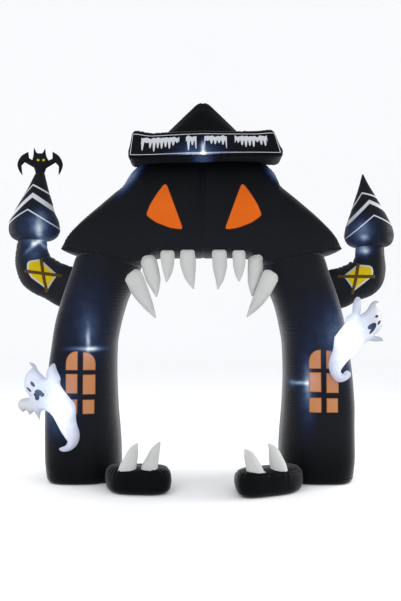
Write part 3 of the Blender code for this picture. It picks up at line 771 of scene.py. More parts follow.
def along_table(rows, at):
    """A table's other columns at values of its first, on smooth curves that never overshoot its rows."""
    table = np.array(rows, float)
    keys, values = table[:, 0], table[:, 1:]
    slopes = np.diff(values, axis=0) / np.diff(keys)[:, None]
    before, after = slopes[:-1], slopes[1:]
    agree = before * after > 0
    tangents = np.empty_like(values)
    tangents[0], tangents[-1] = slopes[0], slopes[-1]
    tangents[1:-1] = np.where(agree, 2 * before * after / np.where(agree, before + after, 1), 0)
    at = np.clip(at, keys[0], keys[-1])
    place = np.clip(np.searchsorted(keys, at, "right") - 1, 0, len(keys) - 2)
    gap = (keys[place + 1] - keys[place])[:, None]
    t = (at - keys[place])[:, None] / gap
    return curve(t, values[place], tangents[place] * gap, values[place + 1], tangents[place + 1] * gap)


def even_steps(low, high, step):
    return np.linspace(low, high, max(int(round((high - low) / step)), 1) + 1)


def run_along(points):
    """How far along a line of points each one lies."""
    return np.concatenate([[0], np.cumsum(np.linalg.norm(np.diff(points, axis=0), axis=1))])


def path_table(rows, leading=2):
    """A path's rows with their distance along it put first. Its leading columns are the places."""
    table = np.array(rows, float)
    return np.column_stack([run_along(table[:, :leading]), table])


def soft_box(half_u, half_v, power, steps):
    """Points round a soft-cornered rectangle from its corner +u +v, denser near its corners."""
    points = []
    for side, count in enumerate(steps * 2):
        angle = math.pi / 4 + (side + np.linspace(0, 1, RING_SAMPLES)) * math.pi / 2
        across, along = np.cos(angle), np.sin(angle)
        u = half_u * np.sign(across) * abs(across) ** (2 / power)
        v = half_v * np.sign(along) * abs(along) ** (2 / power)
        run = run_along(np.column_stack([u, v]))
        share = np.arange(count) / count
        share = share - CORNER_DENSITY * np.sin(2 * math.pi * share) / (2 * math.pi)
        points.append(np.column_stack([np.interp(share * run[-1], run, part) for part in (u, v)]))
    return np.concatenate(points)


def corner_columns(steps):
    across, up = steps
    return 0, across, across + up, 2 * across + up


def rounding(share, power=EDGE_POWER):
    """How far out a rounded edge stands, from 0 at its rim to 1 where the flat side starts."""
    return (1 - (1 - np.clip(share, 0, 1)) ** power) ** (1 / power)


def smooth_outline(rows):
    """A closed curve through the rows' points, with straight tangents broken at the sharp ones."""
    points = np.array([(x, z) for x, z, _ in rows])
    sharp = [corner for _, _, corner in rows]
    count = len(points)
    outline = []
    for k in range(count):
        start, end = points[k], points[(k + 1) % count]
        leave = (end - start) if sharp[k] else (end - points[k - 1]) / 2
        arrive = (end - start) if sharp[(k + 1) % count] else (points[(k + 2) % count] - start) / 2
        outline += [curve(t, start, leave, end, arrive) for t in np.arange(OUTLINE_STEPS) / OUTLINE_STEPS]
    return np.array(outline)


def straight_outline(corners, step):
    """A closed outline through the corners on straight lines, with points about a step apart."""
    outline = []
    for start, end in zip(corners, np.roll(corners, -1, axis=0)):
        count = max(int(round(np.linalg.norm(end - start) / step)), 1)
        outline += [start + (end - start) * k / count for k in range(count)]
    return np.array(outline)


def inset(corners, width):
    """The corners of an outline that runs anticlockwise, moved in so that each side lies this far inside."""
    sides = np.roll(corners, -1, axis=0) - corners
    sides /= np.linalg.norm(sides, axis=1, keepdims=True)
    inward = np.column_stack([-sides[:, 1], sides[:, 0]])
    before = np.roll(inward, 1, axis=0)
    together = 1 + (inward * before).sum(axis=1, keepdims=True)
    return corners + width * (inward + before) / together


def outline_area(outline):
    x, z = outline[:, 0], outline[:, 1]
    return 0.5 * (x * np.roll(z, -1) - np.roll(x, -1) * z).sum()


# Folds and puckers


def soft_noise(points, size, seed):
    """Smooth random values from about -1 to 1, with bumps of about this size."""
    points = np.asarray(points, float)
    scaled = points.reshape(-1, 3) / size + seed * SEED_STEP
    return np.array([noise.noise(point) for point in scaled.tolist()]).reshape(points.shape[:-1])


def puckers(along, away, depth, reach, seed, pitch=PUCKER_PITCH):
    """The small folds that a seam draws in its cloth, by the way along the seam and away from it.

    They are deepest in clusters a hand or two apart, where the cloth has buckled.
    """
    line = np.stack([along, np.zeros_like(along), np.full_like(along, seed)], axis=-1)
    drift = DRIFT * soft_noise(line, DRIFT_SIZE, seed)
    clusters = STRENGTH_SPREAD * soft_noise(line, CLUSTER_SIZE, seed + 3)
    strength = np.clip(MEAN_STRENGTH + clusters, *STRENGTH_RANGE)
    crease = np.sqrt(abs(np.sin(math.pi * (along / pitch + drift)))) - CREASE_LEVEL
    return depth * strength * crease * np.exp(-((away / reach) ** 2))


def valley(away, depth, width):
    """How far a line of stitches draws in the cloth beside it."""
    return depth * np.exp(-((away / width) ** 2))


def seam_folds(grid, column, size, stitches, pitch=PUCKER_PITCH):
    """How far a seam down one column moves a grid's points: its puckers, and the valley of its stitches."""
    seam = grid[:, column]
    away = np.linalg.norm(grid - seam[:, None], axis=2)
    along = np.broadcast_to(run_along(seam)[:, None], away.shape)
    return puckers(along, away, *size, column, pitch) - valley(away, *stitches)


def swells(grid, kind):
    """How far uneven filling moves a grid's points."""
    height, size, seed = SWELLS[kind]
    return height * soft_noise(grid, size, seed)


# Skins


def grid_normals(grid):
    """Outward unit normals of a grid of points whose columns run round a piece."""
    round_way = np.roll(grid, -1, axis=1) - np.roll(grid, 1, axis=1)
    normals = np.cross(round_way, np.gradient(grid, axis=0))
    normals /= np.maximum(np.linalg.norm(normals, axis=2, keepdims=True), TINY)
    outward = grid - grid.mean(axis=1, keepdims=True)
    return normals if (normals * outward).sum() > 0 else -normals


def pushed(grid, distance):
    return grid + grid_normals(grid) * distance[..., None]


def closing_rows(row, before, reach):
    """Rows that round off the end of a grid, from its last row on."""
    middle = row.mean(axis=0)
    onward = middle - before.mean(axis=0)
    onward = onward / np.linalg.norm(onward) * reach
    return [middle + (row - middle) * size + onward * share for share, size in END_SCALES]


def with_ends(grid, reach):
    """The grid with both its ends rounded off."""
    first = closing_rows(grid[0], grid[1], reach)
    last = closing_rows(grid[-1], grid[-2], reach)
    return np.array(first[::-1] + list(grid) + last)


def skin_object(name, points, faces, materials, face_materials=None):
    """An object of this skin, with its faces turned outwards."""
    mesh = bpy.data.meshes.new(name)
    mesh.from_pydata([tuple(point) for point in points], [], faces)
    for material in materials:
        mesh.materials.append(material)
    if face_materials is not None:
        mesh.polygons.foreach_set("material_index", face_materials)
    work = bmesh.new()
    work.from_mesh(mesh)
    bmesh.ops.recalc_face_normals(work, faces=work.faces)
    work.to_mesh(mesh)
    work.free()
    mesh.shade_smooth()
    made = bpy.data.objects.new(name, mesh)
    bpy.context.scene.collection.objects.link(made)
    return made


def grid_object(name, grid, materials, face_materials=None):
    """A closed skin through a grid's rows, with a flat face at each end."""
    rows, count, _ = grid.shape
    start = np.arange(rows - 1)[:, None] * count
    here, after = np.arange(count)[None, :], (np.arange(count)[None, :] + 1) % count
    quads = np.stack([start + here, start + after, start + count + after, start + count + here], axis=-1)
    faces = quads.reshape(-1, 4).tolist()
    faces.append(list(range(count)))
    faces.append(list(range((rows - 1) * count, rows * count)))
    if face_materials is not None:
        face_materials = np.append(face_materials.ravel(), [0, 0]).astype(np.int32)
    return skin_object(name, grid.reshape(-1, 3), faces, materials, face_materials)


def skin_tree(piece):
    places = [vertex.co for vertex in piece.data.vertices]
    return BVHTree.FromPolygons(places, [face.vertices for face in piece.data.polygons])


def press(piece, carrier, way, gap=SEAM_GAP):
    """Moves what lies inside a carrier straight out of it, so that the piece rests on the carrier's skin."""
    tree, way = skin_tree(carrier), Vector(way)
    gaps = np.broadcast_to(gap, len(piece.data.vertices)).tolist()
    for vertex, own_gap in zip(piece.data.vertices, gaps):
        distance = tree.find_nearest(vertex.co)[3]
        close = tree.find_nearest_range(vertex.co, distance + TIE)
        depths = [((near - vertex.co).dot(way_out), way_out) for near, way_out, _, _ in close]
        depth, normal = min(depths, key=lambda pair: pair[0])
        if depth < -own_gap:
            continue
        hit = tree.ray_cast(vertex.co, way)[0] if depth > 0 else None
        vertex.co = hit + way * own_gap if hit else vertex.co + normal * (depth + own_gap)


def dress(piece, slot_name, fill, *nodes):
    """Attaches a blown-up or stuffed piece to the root body, and hides the CAD nodes that it stands for."""
    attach(piece, "root")
    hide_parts(*nodes)


# Flat shapes


def inside_outline(points, outline):
    ends = np.roll(outline, -1, axis=0)
    x, z = points[:, None, 0], points[:, None, 1]
    rise = np.where(ends[:, 1] == outline[:, 1], TINY, ends[:, 1] - outline[:, 1])
    crossing = outline[:, 0] + (z - outline[:, 1]) / rise * (ends[:, 0] - outline[:, 0])
    return (((outline[:, 1] > z) != (ends[:, 1] > z)) & (x < crossing)).sum(axis=1) % 2 == 1


def from_edge(points, outline):
    """Each point's distance from a closed outline, and how far along the outline its nearest point lies."""
    sides = np.roll(outline, -1, axis=0) - outline
    lengths = np.linalg.norm(sides, axis=1)
    starts = np.concatenate([[0], np.cumsum(lengths)[:-1]])
    offset = points[:, None, :] - outline[None, :, :]
    share = np.clip((offset * sides).sum(axis=2) / np.maximum(lengths**2, TINY), 0, 1)
    distance = np.linalg.norm(offset - share[..., None] * sides, axis=2)
    best = distance.argmin(axis=1)
    pick = np.arange(len(points))
    return distance[pick, best], starts[best] + share[pick, best] * lengths[best]


def filled(outlines, spacing):
    """Points and triangles that fill one or more outlines, with edges along each of them."""
    joined = np.concatenate(outlines)
    low, high = joined.min(axis=0), joined.max(axis=0)
    grid_x, grid_z = np.meshgrid(
        np.arange(low[0], high[0] + spacing, spacing),
        np.arange(low[1], high[1] + spacing, spacing * ROW_SHARE),
    )
    grid_x[1::2] += spacing / 2
    grid = np.column_stack([grid_x.ravel(), grid_z.ravel()])
    grid = grid[np.any([inside_outline(grid, outline) for outline in outlines], axis=0)]
    points, edges = [], []
    for outline in outlines:
        grid = grid[from_edge(grid, outline)[0] > spacing * EDGE_CLEAR]
        start, count = len(points), len(outline)
        points += outline.tolist()
        edges += [(start + k, start + (k + 1) % count) for k in range(count)]
    points = [Vector(point) for point in points + grid.tolist()]
    flat, _, faces, _, _, _ = delaunay_2d_cdt(points, edges, [], 1, 1e-7)
    return np.array([tuple(point) for point in flat]), [list(face) for face in faces]


def eased(values, faces, fixed):
    """Values drawn towards their neighbours' mean, so that a crown runs in soft curves."""
    corners = np.array(faces)
    sides = np.concatenate([corners[:, [0, 1]], corners[:, [1, 2]], corners[:, [2, 0]]])
    sides = np.unique(np.sort(sides, axis=1), axis=0)
    ends = np.concatenate([sides, sides[:, ::-1]])
    count = np.bincount(ends[:, 0], minlength=len(values))
    for _ in range(STUFFING_ROUNDS):
        total = np.bincount(ends[:, 0], weights=values[ends[:, 1]], minlength=len(values))
        values = np.where(fixed, values, total / count)
    return values


def two_layers(name, front, back, faces, materials, face_materials=None):
    """A skin of two layers that share their triangles, joined round the rim."""
    count = len(front)
    behind = [[count + k for k in reversed(face)] for face in faces]
    sides = {(face[k - 1], face[k]) for face in faces for k in range(3)}
    rim = sorted((start, end) for start, end in sides if (end, start) not in sides)
    joined = [[start, end, count + end, count + start] for start, end in rim]
    if face_materials is not None:
        face_materials = np.concatenate([face_materials, face_materials, np.ones(len(rim))]).astype(np.int32)
    points = np.concatenate([front, back])
    return skin_object(name, points, faces + behind + joined, materials, face_materials)


def stuffed_shape(name, outline, y, half_thickness, rim_width, spacing, material, seed):
    """Two layers of cloth sewn together along an outline in the XZ plane and stuffed."""
    flat, faces = filled([outline], spacing)
    distance, run = from_edge(flat, outline)
    at_seam = distance < 1e-6
    crown = eased(half_thickness * rounding(distance / rim_width, 2), faces, at_seam)
    layers = []
    for direction in (-1, 1):
        folds = puckers(run, distance, SHAPE_PUCKER_DEPTH, SHAPE_PUCKER_REACH, seed + direction)
        offset = PANEL_SEAM + np.maximum(crown + np.where(at_seam, 0, folds), 0)
        layers.append(np.column_stack([flat[:, 0], y + direction * offset, flat[:, 1]]))
    return two_layers(name, *layers, faces, [material])


def layer_gaps(piece, gap=SEAM_GAP):
    """Each point's gap from the carrier, which keeps the piece's front layer clear of its back one."""
    half = len(piece.data.vertices) // 2
    return np.where(np.arange(2 * half) < half, gap + LAYER_CLOTH, gap)


def upright(corners):
    """The corners of an outline, turned so that they run anticlockwise."""
    corners = np.array(corners, float)
    return corners if outline_area(corners) > 0 else corners[::-1]


def rounded(corners, reach):
    """An outline's corners, each replaced by two that lie on its sides, at most this far from it."""
    made = []
    for before, corner, after in zip(np.roll(corners, 1, axis=0), corners, np.roll(corners, -1, axis=0)):
        for other in (before, after):
            share = min(reach / np.linalg.norm(other - corner), MOST_CUT)
            made.append(corner + (other - corner) * share)
    return np.array(made)


def hemmed(corners, hem):
    """A patch's outline and the inner edge of its hem."""
    corners = upright(corners)
    step = PATCH_SPACING * OUTLINE_SHARE
    return [straight_outline(shape, step) for shape in (corners, inset(corners, hem))]


def patch(name, outlines, carrier, lift, materials):
    """A thin piece of cloth laid on the carrier's front. Its second material is that of the hem.

    cut is not used.
    """
    flat, faces = filled(outlines, PATCH_SPACING)
    distance, _ = from_edge(flat, outlines[0])
    full = np.minimum(distance / PATCH_EDGE, 1)
    thickness = PATCH_CLOTH * (PATCH_EDGE_SHARE + (1 - PATCH_EDGE_SHARE) * full)
    tree = skin_tree(carrier)
    front, back = [], []
    for (x, z), own_thickness in zip(flat.tolist(), thickness.tolist()):
        hit, normal, _, _ = tree.ray_cast(Vector((x, PATCH_FRONT_Y, z)), Vector((0, 1, 0)))
        if hit is None:
            hit, normal, _, _ = tree.find_nearest(Vector((x, GHOST_Y, z)))
        back.append(hit + normal * lift)
        front.append(hit + normal * (lift + own_thickness))
    corners = flat[np.array(faces)]
    in_hem = ~inside_outline(corners.mean(axis=1), outlines[1]) if len(materials) > 1 else None
    made = two_layers(name, front, back, faces, materials, in_hem)
    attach(made, "root")
    return made


def pane_corners(left, right, bottom, top, arch_side):
    """A pane's corners from below anticlockwise. An arch side of -1 or 1 rounds that upper corner."""
    corners = [(left, bottom), (right, bottom)]
    if not arch_side:
        return corners + [(right, top), (left, top)]
    width, drop = right - left, (top - bottom) * PANE_ARCH_DROP
    arch = []
    for angle in np.linspace(0, math.pi / 2, PANE_ARCH_STEPS + 1):
        reach = width * (1 - PANE_ARCH_FLAT) * math.cos(angle) + width * PANE_ARCH_FLAT
        arch.append((reach, top - drop + drop * math.sin(angle)))
    if arch_side > 0:
        return corners + [(left + u, z) for u, z in arch] + [(left, top)]
    return corners + [(right, top)] + [(right - u, z) for u, z in reversed(arch)]


def strip_corners(start_x, start_z, end_x, end_z):
    start, end = np.array([start_x, start_z]), np.array([end_x, end_z])
    way = (end - start) / np.linalg.norm(end - start)
    over = np.array([-way[1], way[0]]) * STRIP_HALF_WIDTH
    return upright([start + over, start - over, end - over, end + over])


# Pieces


def leg_skin(side_name):
    even_part = even_steps(LEG_ROWS[1][0], LEG_ROWS[-1][0], ROW_STEP["leg"])
    heights = np.concatenate([LEG_BASE_HEIGHTS, even_part])
    steps = RING_STEPS["leg"]
    rows = []
    for z, (inner, outer, half_depth) in zip(heights, along_table(LEG_ROWS, heights)):
        middle_x = SIDES[side_name] * (inner + outer) / 2 + LEG_SHIFT[side_name]
        half_width = (outer - inner) / 2
        ring = soft_box(half_width, half_depth, LEG_POWER, steps)
        across, deep = ring[:, 0] / half_width, ring[:, 1] / half_depth
        inner_front = (across * SIDES[side_name] < 0) & (deep < 0)
        power = INNER_EDGE_POWER
        reach = (abs(across) ** power + abs(deep) ** power) ** (1 / power)
        ring = ring / np.where(inner_front, reach, 1)[:, None]
        rows.append(np.column_stack([middle_x + ring[:, 0], MID_Y + ring[:, 1], np.full(len(ring), z)]))
    grid = np.array(rows)
    folds = swells(grid, "leg")
    for column in corner_columns(steps):
        x, y, _ = grid[0, column]
        size = LEG_INNER_PUCKERS if x * SIDES[side_name] < LEG_INNER_SEAM_X else LEG_OUTER_PUCKERS
        folds += seam_folds(grid, column, size, NO_VALLEY if y < MID_Y else LEG_BACK_VALLEY)
    z = grid[..., 2]
    over_foot = np.clip((z - LEG_FOLD_START) / LEG_FOLD_FADE, 0, 1)
    under_head = np.clip((LEG_FOLD_END - z) / LEG_FOLD_FADE, 0, 1)
    return pushed(grid, folds * over_foot * under_head)


def roof_skin():
    distance = even_steps(-ROOF_ROWS[-1][0], ROOF_ROWS[-1][0], ROW_STEP["roof"])
    mirrored = [(-row[0], *row[1:]) for row in reversed(ROOF_ROWS[1:])] + list(ROOF_ROWS)
    bottom_turn = np.linspace(0, math.pi / 2, ROOF_BOTTOM_STEPS)
    top_turn = np.linspace(math.pi / 2, 0, ROOF_TOP_STEPS)
    rows = []
    for from_middle, (underside, top, share) in zip(distance, along_table(mirrored, distance)):
        most = ROOF_ROUND_SHARE * (top - underside)
        bottom_round, edge_round = min(ROOF_BOTTOM_ROUND, most), min(ROOF_EDGE_ROUND, most)
        low, high = underside + bottom_round, top - edge_round
        z = np.concatenate(
            [
                low - bottom_round * np.cos(bottom_turn) ** (2 / EDGE_POWER),
                np.linspace(low, high, ROOF_FACE_COUNT + 2)[1:-1],
                high + edge_round * np.cos(top_turn) ** (2 / EDGE_POWER),
            ]
        )
        half_depth = along_table(ROOF_DEPTH_ROWS, z)[:, 0] * share
        half_depth = half_depth * rounding((z - underside) / bottom_round) * rounding((top - z) / edge_round)
        x = from_middle + np.interp(z, *zip(*ROOF_LEAN_ROWS))
        front = np.column_stack([x, MID_Y - half_depth, z])
        back = np.column_stack([x, MID_Y + half_depth, z])
        rows.append(np.concatenate([front, back[-2:0:-1]]))
    grid = np.array(rows)
    count = grid.shape[1]
    bottom_seam, top_seam = ROOF_BOTTOM_STEPS - ROOF_BOTTOM_SEAM_STEP, count // 2 - ROOF_TOP_STEPS // 2
    folds = swells(grid, "roof")
    for column in (bottom_seam, top_seam, count - top_seam, count - bottom_seam):
        folds += seam_folds(grid, column, ROOF_PUCKERS, ROOF_VALLEY)
    away = abs(grid[..., 0] - ROOF_LEAN_ROWS[-1][1])
    folds += puckers(grid[..., 2], away, *ROOF_MIDDLE_PUCKERS, ROOF_MIDDLE_SEED)
    folds -= valley(away, *ROOF_MIDDLE_VALLEY)
    return with_ends(pushed(grid, folds), ROOF_END_REACH)


def sign_skin():
    low, high = SIGN_ROWS[0][0], SIGN_ROWS[-1][0]
    bottom_x = even_steps(low, high, ROW_STEP["sign"])
    steps = RING_STEPS["sign"]
    middle_y = (SIGN_FRONT_Y + SIGN_BACK_Y) / 2
    half_depth = (SIGN_BACK_Y - SIGN_FRONT_Y) / 2
    rows = []
    for at_bottom, (at_top, bottom, top, share) in zip(bottom_x, along_table(SIGN_ROWS, bottom_x)):
        ring = soft_box(half_depth * share, (top - bottom) / 2, SIGN_POWER, steps)
        z = (bottom + top) / 2 + ring[:, 1]
        x = at_bottom + (at_top - at_bottom) * np.clip((z - bottom) / (top - bottom), 0, 1)
        rows.append(np.column_stack([x, middle_y + ring[:, 0], z]))
    grid = np.array(rows)
    folds = swells(grid, "sign")
    for column in corner_columns(steps):
        folds += seam_folds(grid, column, SIGN_PUCKERS, SIGN_VALLEY, SIGN_PITCH)
    return with_ends(pushed(grid, folds), SIGN_END_REACH)


def map_sign_face(sign, grid):
    """Maps the sign box so that its face runs from 0 to the face's length and height."""
    across, up = RING_STEPS["sign"]
    ends = len(END_SCALES)
    height = run_along(grid[len(grid) // 2, across + up : across - 1 : -1])[::-1]
    map_up = np.zeros(grid.shape[1])
    map_up[across : across + up + 1] = height / height[0] * SIGN_FACE[1]
    middle = grid[:, across + up // 2, 0]
    map_across = (middle - middle[ends]) / (middle[-ends - 1] - middle[ends]) * SIGN_FACE[0]
    corners = np.empty(len(sign.data.loops), np.int32)
    sign.data.loops.foreach_get("vertex_index", corners)
    row, column = np.divmod(corners, grid.shape[1])
    layer = sign.data.uv_layers.new(name=SIGN_MAP)
    layer.data.foreach_set("uv", np.column_stack([map_across[row], map_up[column]]).ravel())


def ellipse_columns(count):
    angle = np.arange(count) / count * 2 * math.pi
    return np.cos(angle), np.sin(angle)


def arm_skin(side_name):
    path = path_table(ARM_ROWS[side_name])
    distance = even_steps(0, path[-1, 0], ROW_STEP["arm"])
    x, z, half_width, half_depth = along_table(path, distance).T
    way = np.column_stack([np.gradient(x), np.gradient(z)])
    way /= np.linalg.norm(way, axis=1, keepdims=True)
    across, deep = ellipse_columns(ARM_COUNT)
    grid = np.stack(
        [
            x[:, None] + (way[:, 1] * half_width)[:, None] * across,
            MID_Y + half_depth[:, None] * deep,
            z[:, None] - (way[:, 0] * half_width)[:, None] * across,
        ],
        axis=-1,
    )
    folds = swells(grid, "arm")
    bend = np.exp(-(((distance - ARM_BEND_PLACE * distance[-1]) / ARM_BEND_REACH) ** 2))[:, None]
    for column in (0, ARM_COUNT // 2):
        inside = (column == 0) == (side_name == "left")
        depth = ARM_DEPTH + ARM_BEND_DEPTH * bend * inside
        folds += seam_folds(grid, column, ARM_PUCKERS, NO_VALLEY, ARM_PITCH) * depth
    return pushed(grid, folds)


def cone_skin(side_name):
    profile = path_table([(radius, z, x) for z, x, radius in CONE_ROWS[side_name]])
    distance = even_steps(0, profile[-1, 0], ROW_STEP["cone"])
    radius, z, x = along_table(profile, distance).T
    across, deep = ellipse_columns(CONE_COUNT)
    grid = np.stack(
        [
            x[:, None] + radius[:, None] * across,
            MID_Y + radius[:, None] * deep,
            np.broadcast_to(z[:, None], (len(z), CONE_COUNT)),
        ],
        axis=-1,
    )
    rim = radius.argmax()
    round_rim = np.arange(CONE_COUNT) / CONE_COUNT * 2 * math.pi * radius[rim]
    away = np.broadcast_to(abs(distance - distance[rim])[:, None], grid.shape[:2])
    along = np.broadcast_to(round_rim[None, :], grid.shape[:2])
    pitch = 2 * math.pi * radius[rim] / CONE_GATHERS
    folds = puckers(along, away, *CONE_PUCKERS, CONE_SEED, pitch)
    folds += swells(grid, "cone") * np.clip(radius / CONE_SWELL_RADIUS, 0, 1)[:, None]
    return pushed(grid, folds)


def foot_skin(side_name):
    middle_x, middle_y, half_width, half_depth, *turns = FOOT_ROWS[side_name]
    front_turn, side_turn = np.radians(turns)
    front_way = np.array([math.cos(front_turn), math.sin(front_turn)])
    side_way = np.array([-math.sin(side_turn), math.cos(side_turn)])
    profile = path_table([(inset_by, z) for z, inset_by in FOOT_EDGE_ROWS] + list(FOOT_TOP_ROWS))
    distance = even_steps(0, profile[-1, 0], ROW_STEP["foot"])
    steps = RING_STEPS["foot"]
    rows, heights = [], []
    for inset_by, z in along_table(profile, distance):
        ring = soft_box(half_width - inset_by, half_depth - inset_by, FOOT_POWER, steps)
        backward = (ring[:, 1] / half_depth - FOOT_DROP_START) / (1 - FOOT_DROP_START)
        slope = 1 - FOOT_BACK_DROP * np.clip(backward, 0, 1)
        flat = (middle_x, middle_y) + ring[:, :1] * front_way + ring[:, 1:] * side_way
        hollow = FOOT_HOLLOW * np.clip((inset_by - FOOT_HOLLOW_START) / FOOT_HOLLOW_REACH, 0, 1) ** 2
        rows.append(np.column_stack([flat, z * slope - hollow]))
        heights.append(z)
    grid = np.array(rows)
    away = abs(distance - np.interp(FOOT_SEAM_HEIGHT, heights, distance))
    away = np.broadcast_to(away[:, None], grid.shape[:2])
    seam = grid[np.argmin(away[:, 0])]
    along = np.broadcast_to(run_along(seam)[None, :], grid.shape[:2])
    folds = puckers(along, away, *FOOT_PUCKERS, FOOT_SEED, FOOT_PITCH) - valley(away, *FOOT_VALLEY)
    folds += swells(grid, "foot")
    return pushed(grid, folds * np.clip((grid[..., 2] - FOOT_FOLD_START) / FOOT_FOLD_FADE, 0, 1))


def fang_outline(rows):
    """A fang's outline from the middle line and widths of its table, with a round root and a blunt tip."""
    path = path_table(rows)
    inside = even_steps(0, path[-1, 0], FANG_STEP)
    middle_x, middle_z, half = along_table(path, inside).T
    way = np.column_stack([np.gradient(middle_x), np.gradient(middle_z)])
    way /= np.linalg.norm(way, axis=1, keepdims=True)
    over = np.column_stack([way[:, 1], -way[:, 0]]) * half[:, None]
    middle = np.column_stack([middle_x, middle_z])
    tip = middle[-1] + way[-1] * half[-1]
    return upright(np.concatenate([middle + over, [tip], (middle - over)[::-1]]))


def make_fang(name, rows, y, half_thickness, seed):
    widest = max(half_width for _, _, half_width in rows)
    rim_width = min(half_thickness * FANG_RIM_REACH, widest * FANG_RIM_SHARE)
    outline, spacing = fang_outline(rows), SHAPE_SPACING["fang"]
    return stuffed_shape(name, outline, y, half_thickness, rim_width, spacing, cloth("fang"), seed)


# Finishes


def linear(hex_colour):
    """An sRGB hex colour as linear red, green, blue and alpha."""
    channels = [int(hex_colour[k : k + 2], 16) / 255 for k in (1, 3, 5)]
    return (*[c / 12.92 if c <= 0.04045 else ((c + 0.055) / 1.055) ** 2.4 for c in channels], 1.0)


def add_node(tree, kind, sockets=(), output=0, **settings):
    """Adds a node with its settings, its inputs' values and links, and gives back one of its outputs."""
    node = tree.nodes.new(kind)
    for name, value in settings.items():
        setattr(node, name, value)
    for name, value in dict(sockets).items():
        if isinstance(value, bpy.types.NodeSocket):
            tree.links.new(value, node.inputs[name])
        else:
            node.inputs[name].default_value = value
    return node.outputs[output]


def woven_polyester(name, colour, mottle, roughness, shine, sheen, crinkle):
    """Woven polyester taffeta, dyed in the piece, coated inside and sewn up: a soft satin with fine threads.

    Gives back its node tree, the place on the object, and the colour with the dye's slight unevenness.
    """
    material = bpy.data.materials.new(f"woven_polyester_{name}")
    material.use_nodes = True
    tree = material.node_tree
    place = add_node(tree, "ShaderNodeTexCoord", output="Object")
    blotches = {"Vector": place, "Scale": 1 / BLOTCH_SIZE, "Detail": 3.0}
    blotch = add_node(tree, "ShaderNodeTexNoise", blotches, "Fac")
    shades = {"Value": blotch, 1: NOISE_LOW, 2: NOISE_HIGH, 3: 1 - mottle, 4: 1 + mottle}
    shade = add_node(tree, "ShaderNodeMapRange", shades)
    uneven = add_node(tree, "ShaderNodeVectorMath", {0: colour[:3], "Scale": shade}, operation="SCALE")
    # Creases that are left from folding run every few centimetres, with small wrinkles between them
    folded = {
        "Vector": place,
        "Scale": 1 / CRINKLE_SIZE,
        "Detail": 4.0,
        "Roughness": 0.55,
        "Distortion": 0.6,
    }
    creases = add_node(tree, "ShaderNodeTexNoise", folded, "Fac")
    # Real threads are 0.2 mm apart. They are drawn 10 mm apart, so that a picture of the arch can show them
    waves = {"Vector": place, "Scale": WAVE_LENGTH / THREAD_PITCH, "Distortion": 0.4}
    threads = [add_node(tree, "ShaderNodeTexWave", waves, "Fac", bands_direction=axis) for axis in "XYZ"]
    crossed = add_node(tree, "ShaderNodeMath", {0: threads[0], 1: threads[1]}, operation="ADD")
    weave = add_node(tree, "ShaderNodeMath", {0: crossed, 1: threads[2]}, operation="ADD")
    thread_relief = {"Height": weave, "Strength": THREAD_STRENGTH, "Distance": THREAD_DEPTH}
    threaded = add_node(tree, "ShaderNodeBump", thread_relief)
    crease_relief = {"Height": creases, "Strength": crinkle, "Distance": CREASE_DEPTH, "Normal": threaded}
    bump = add_node(tree, "ShaderNodeBump", crease_relief)
    smooth, rough = roughness - ROUGHNESS_SPREAD, roughness + ROUGHNESS_SPREAD
    finish = {"Value": creases, 1: NOISE_LOW, 2: NOISE_HIGH, 3: smooth, 4: rough}
    gloss = add_node(tree, "ShaderNodeMapRange", finish)
    shader = tree.nodes["Principled BSDF"]
    shader.inputs["IOR"].default_value = POLYESTER_IOR
    shader.inputs["Specular IOR Level"].default_value = shine
    shader.inputs["Sheen Weight"].default_value = sheen
    shader.inputs["Sheen Roughness"].default_value = SHEEN_ROUGHNESS
    tree.links.new(uneven, shader.inputs["Base Color"])
    tree.links.new(gloss, shader.inputs["Roughness"])
    tree.links.new(bump, shader.inputs["Normal"])
    return tree, place, uneven


def ellipse_distance(tree, place, x, z, half_x, half_z, turn):
    """A socket that is 1 on an ellipse seen from the front, less inside it and more outside."""
    ellipse = {
        "Vector": place,
        "Location": (x, 0, z),
        "Rotation": (0, math.radians(turn), 0),
        "Scale": (half_x, FAR_DEEP, half_z),
    }
    inside = add_node(tree, "ShaderNodeMapping", ellipse, vector_type="TEXTURE")
    return add_node(tree, "ShaderNodeVectorMath", {0: inside}, "Value", operation="LENGTH")


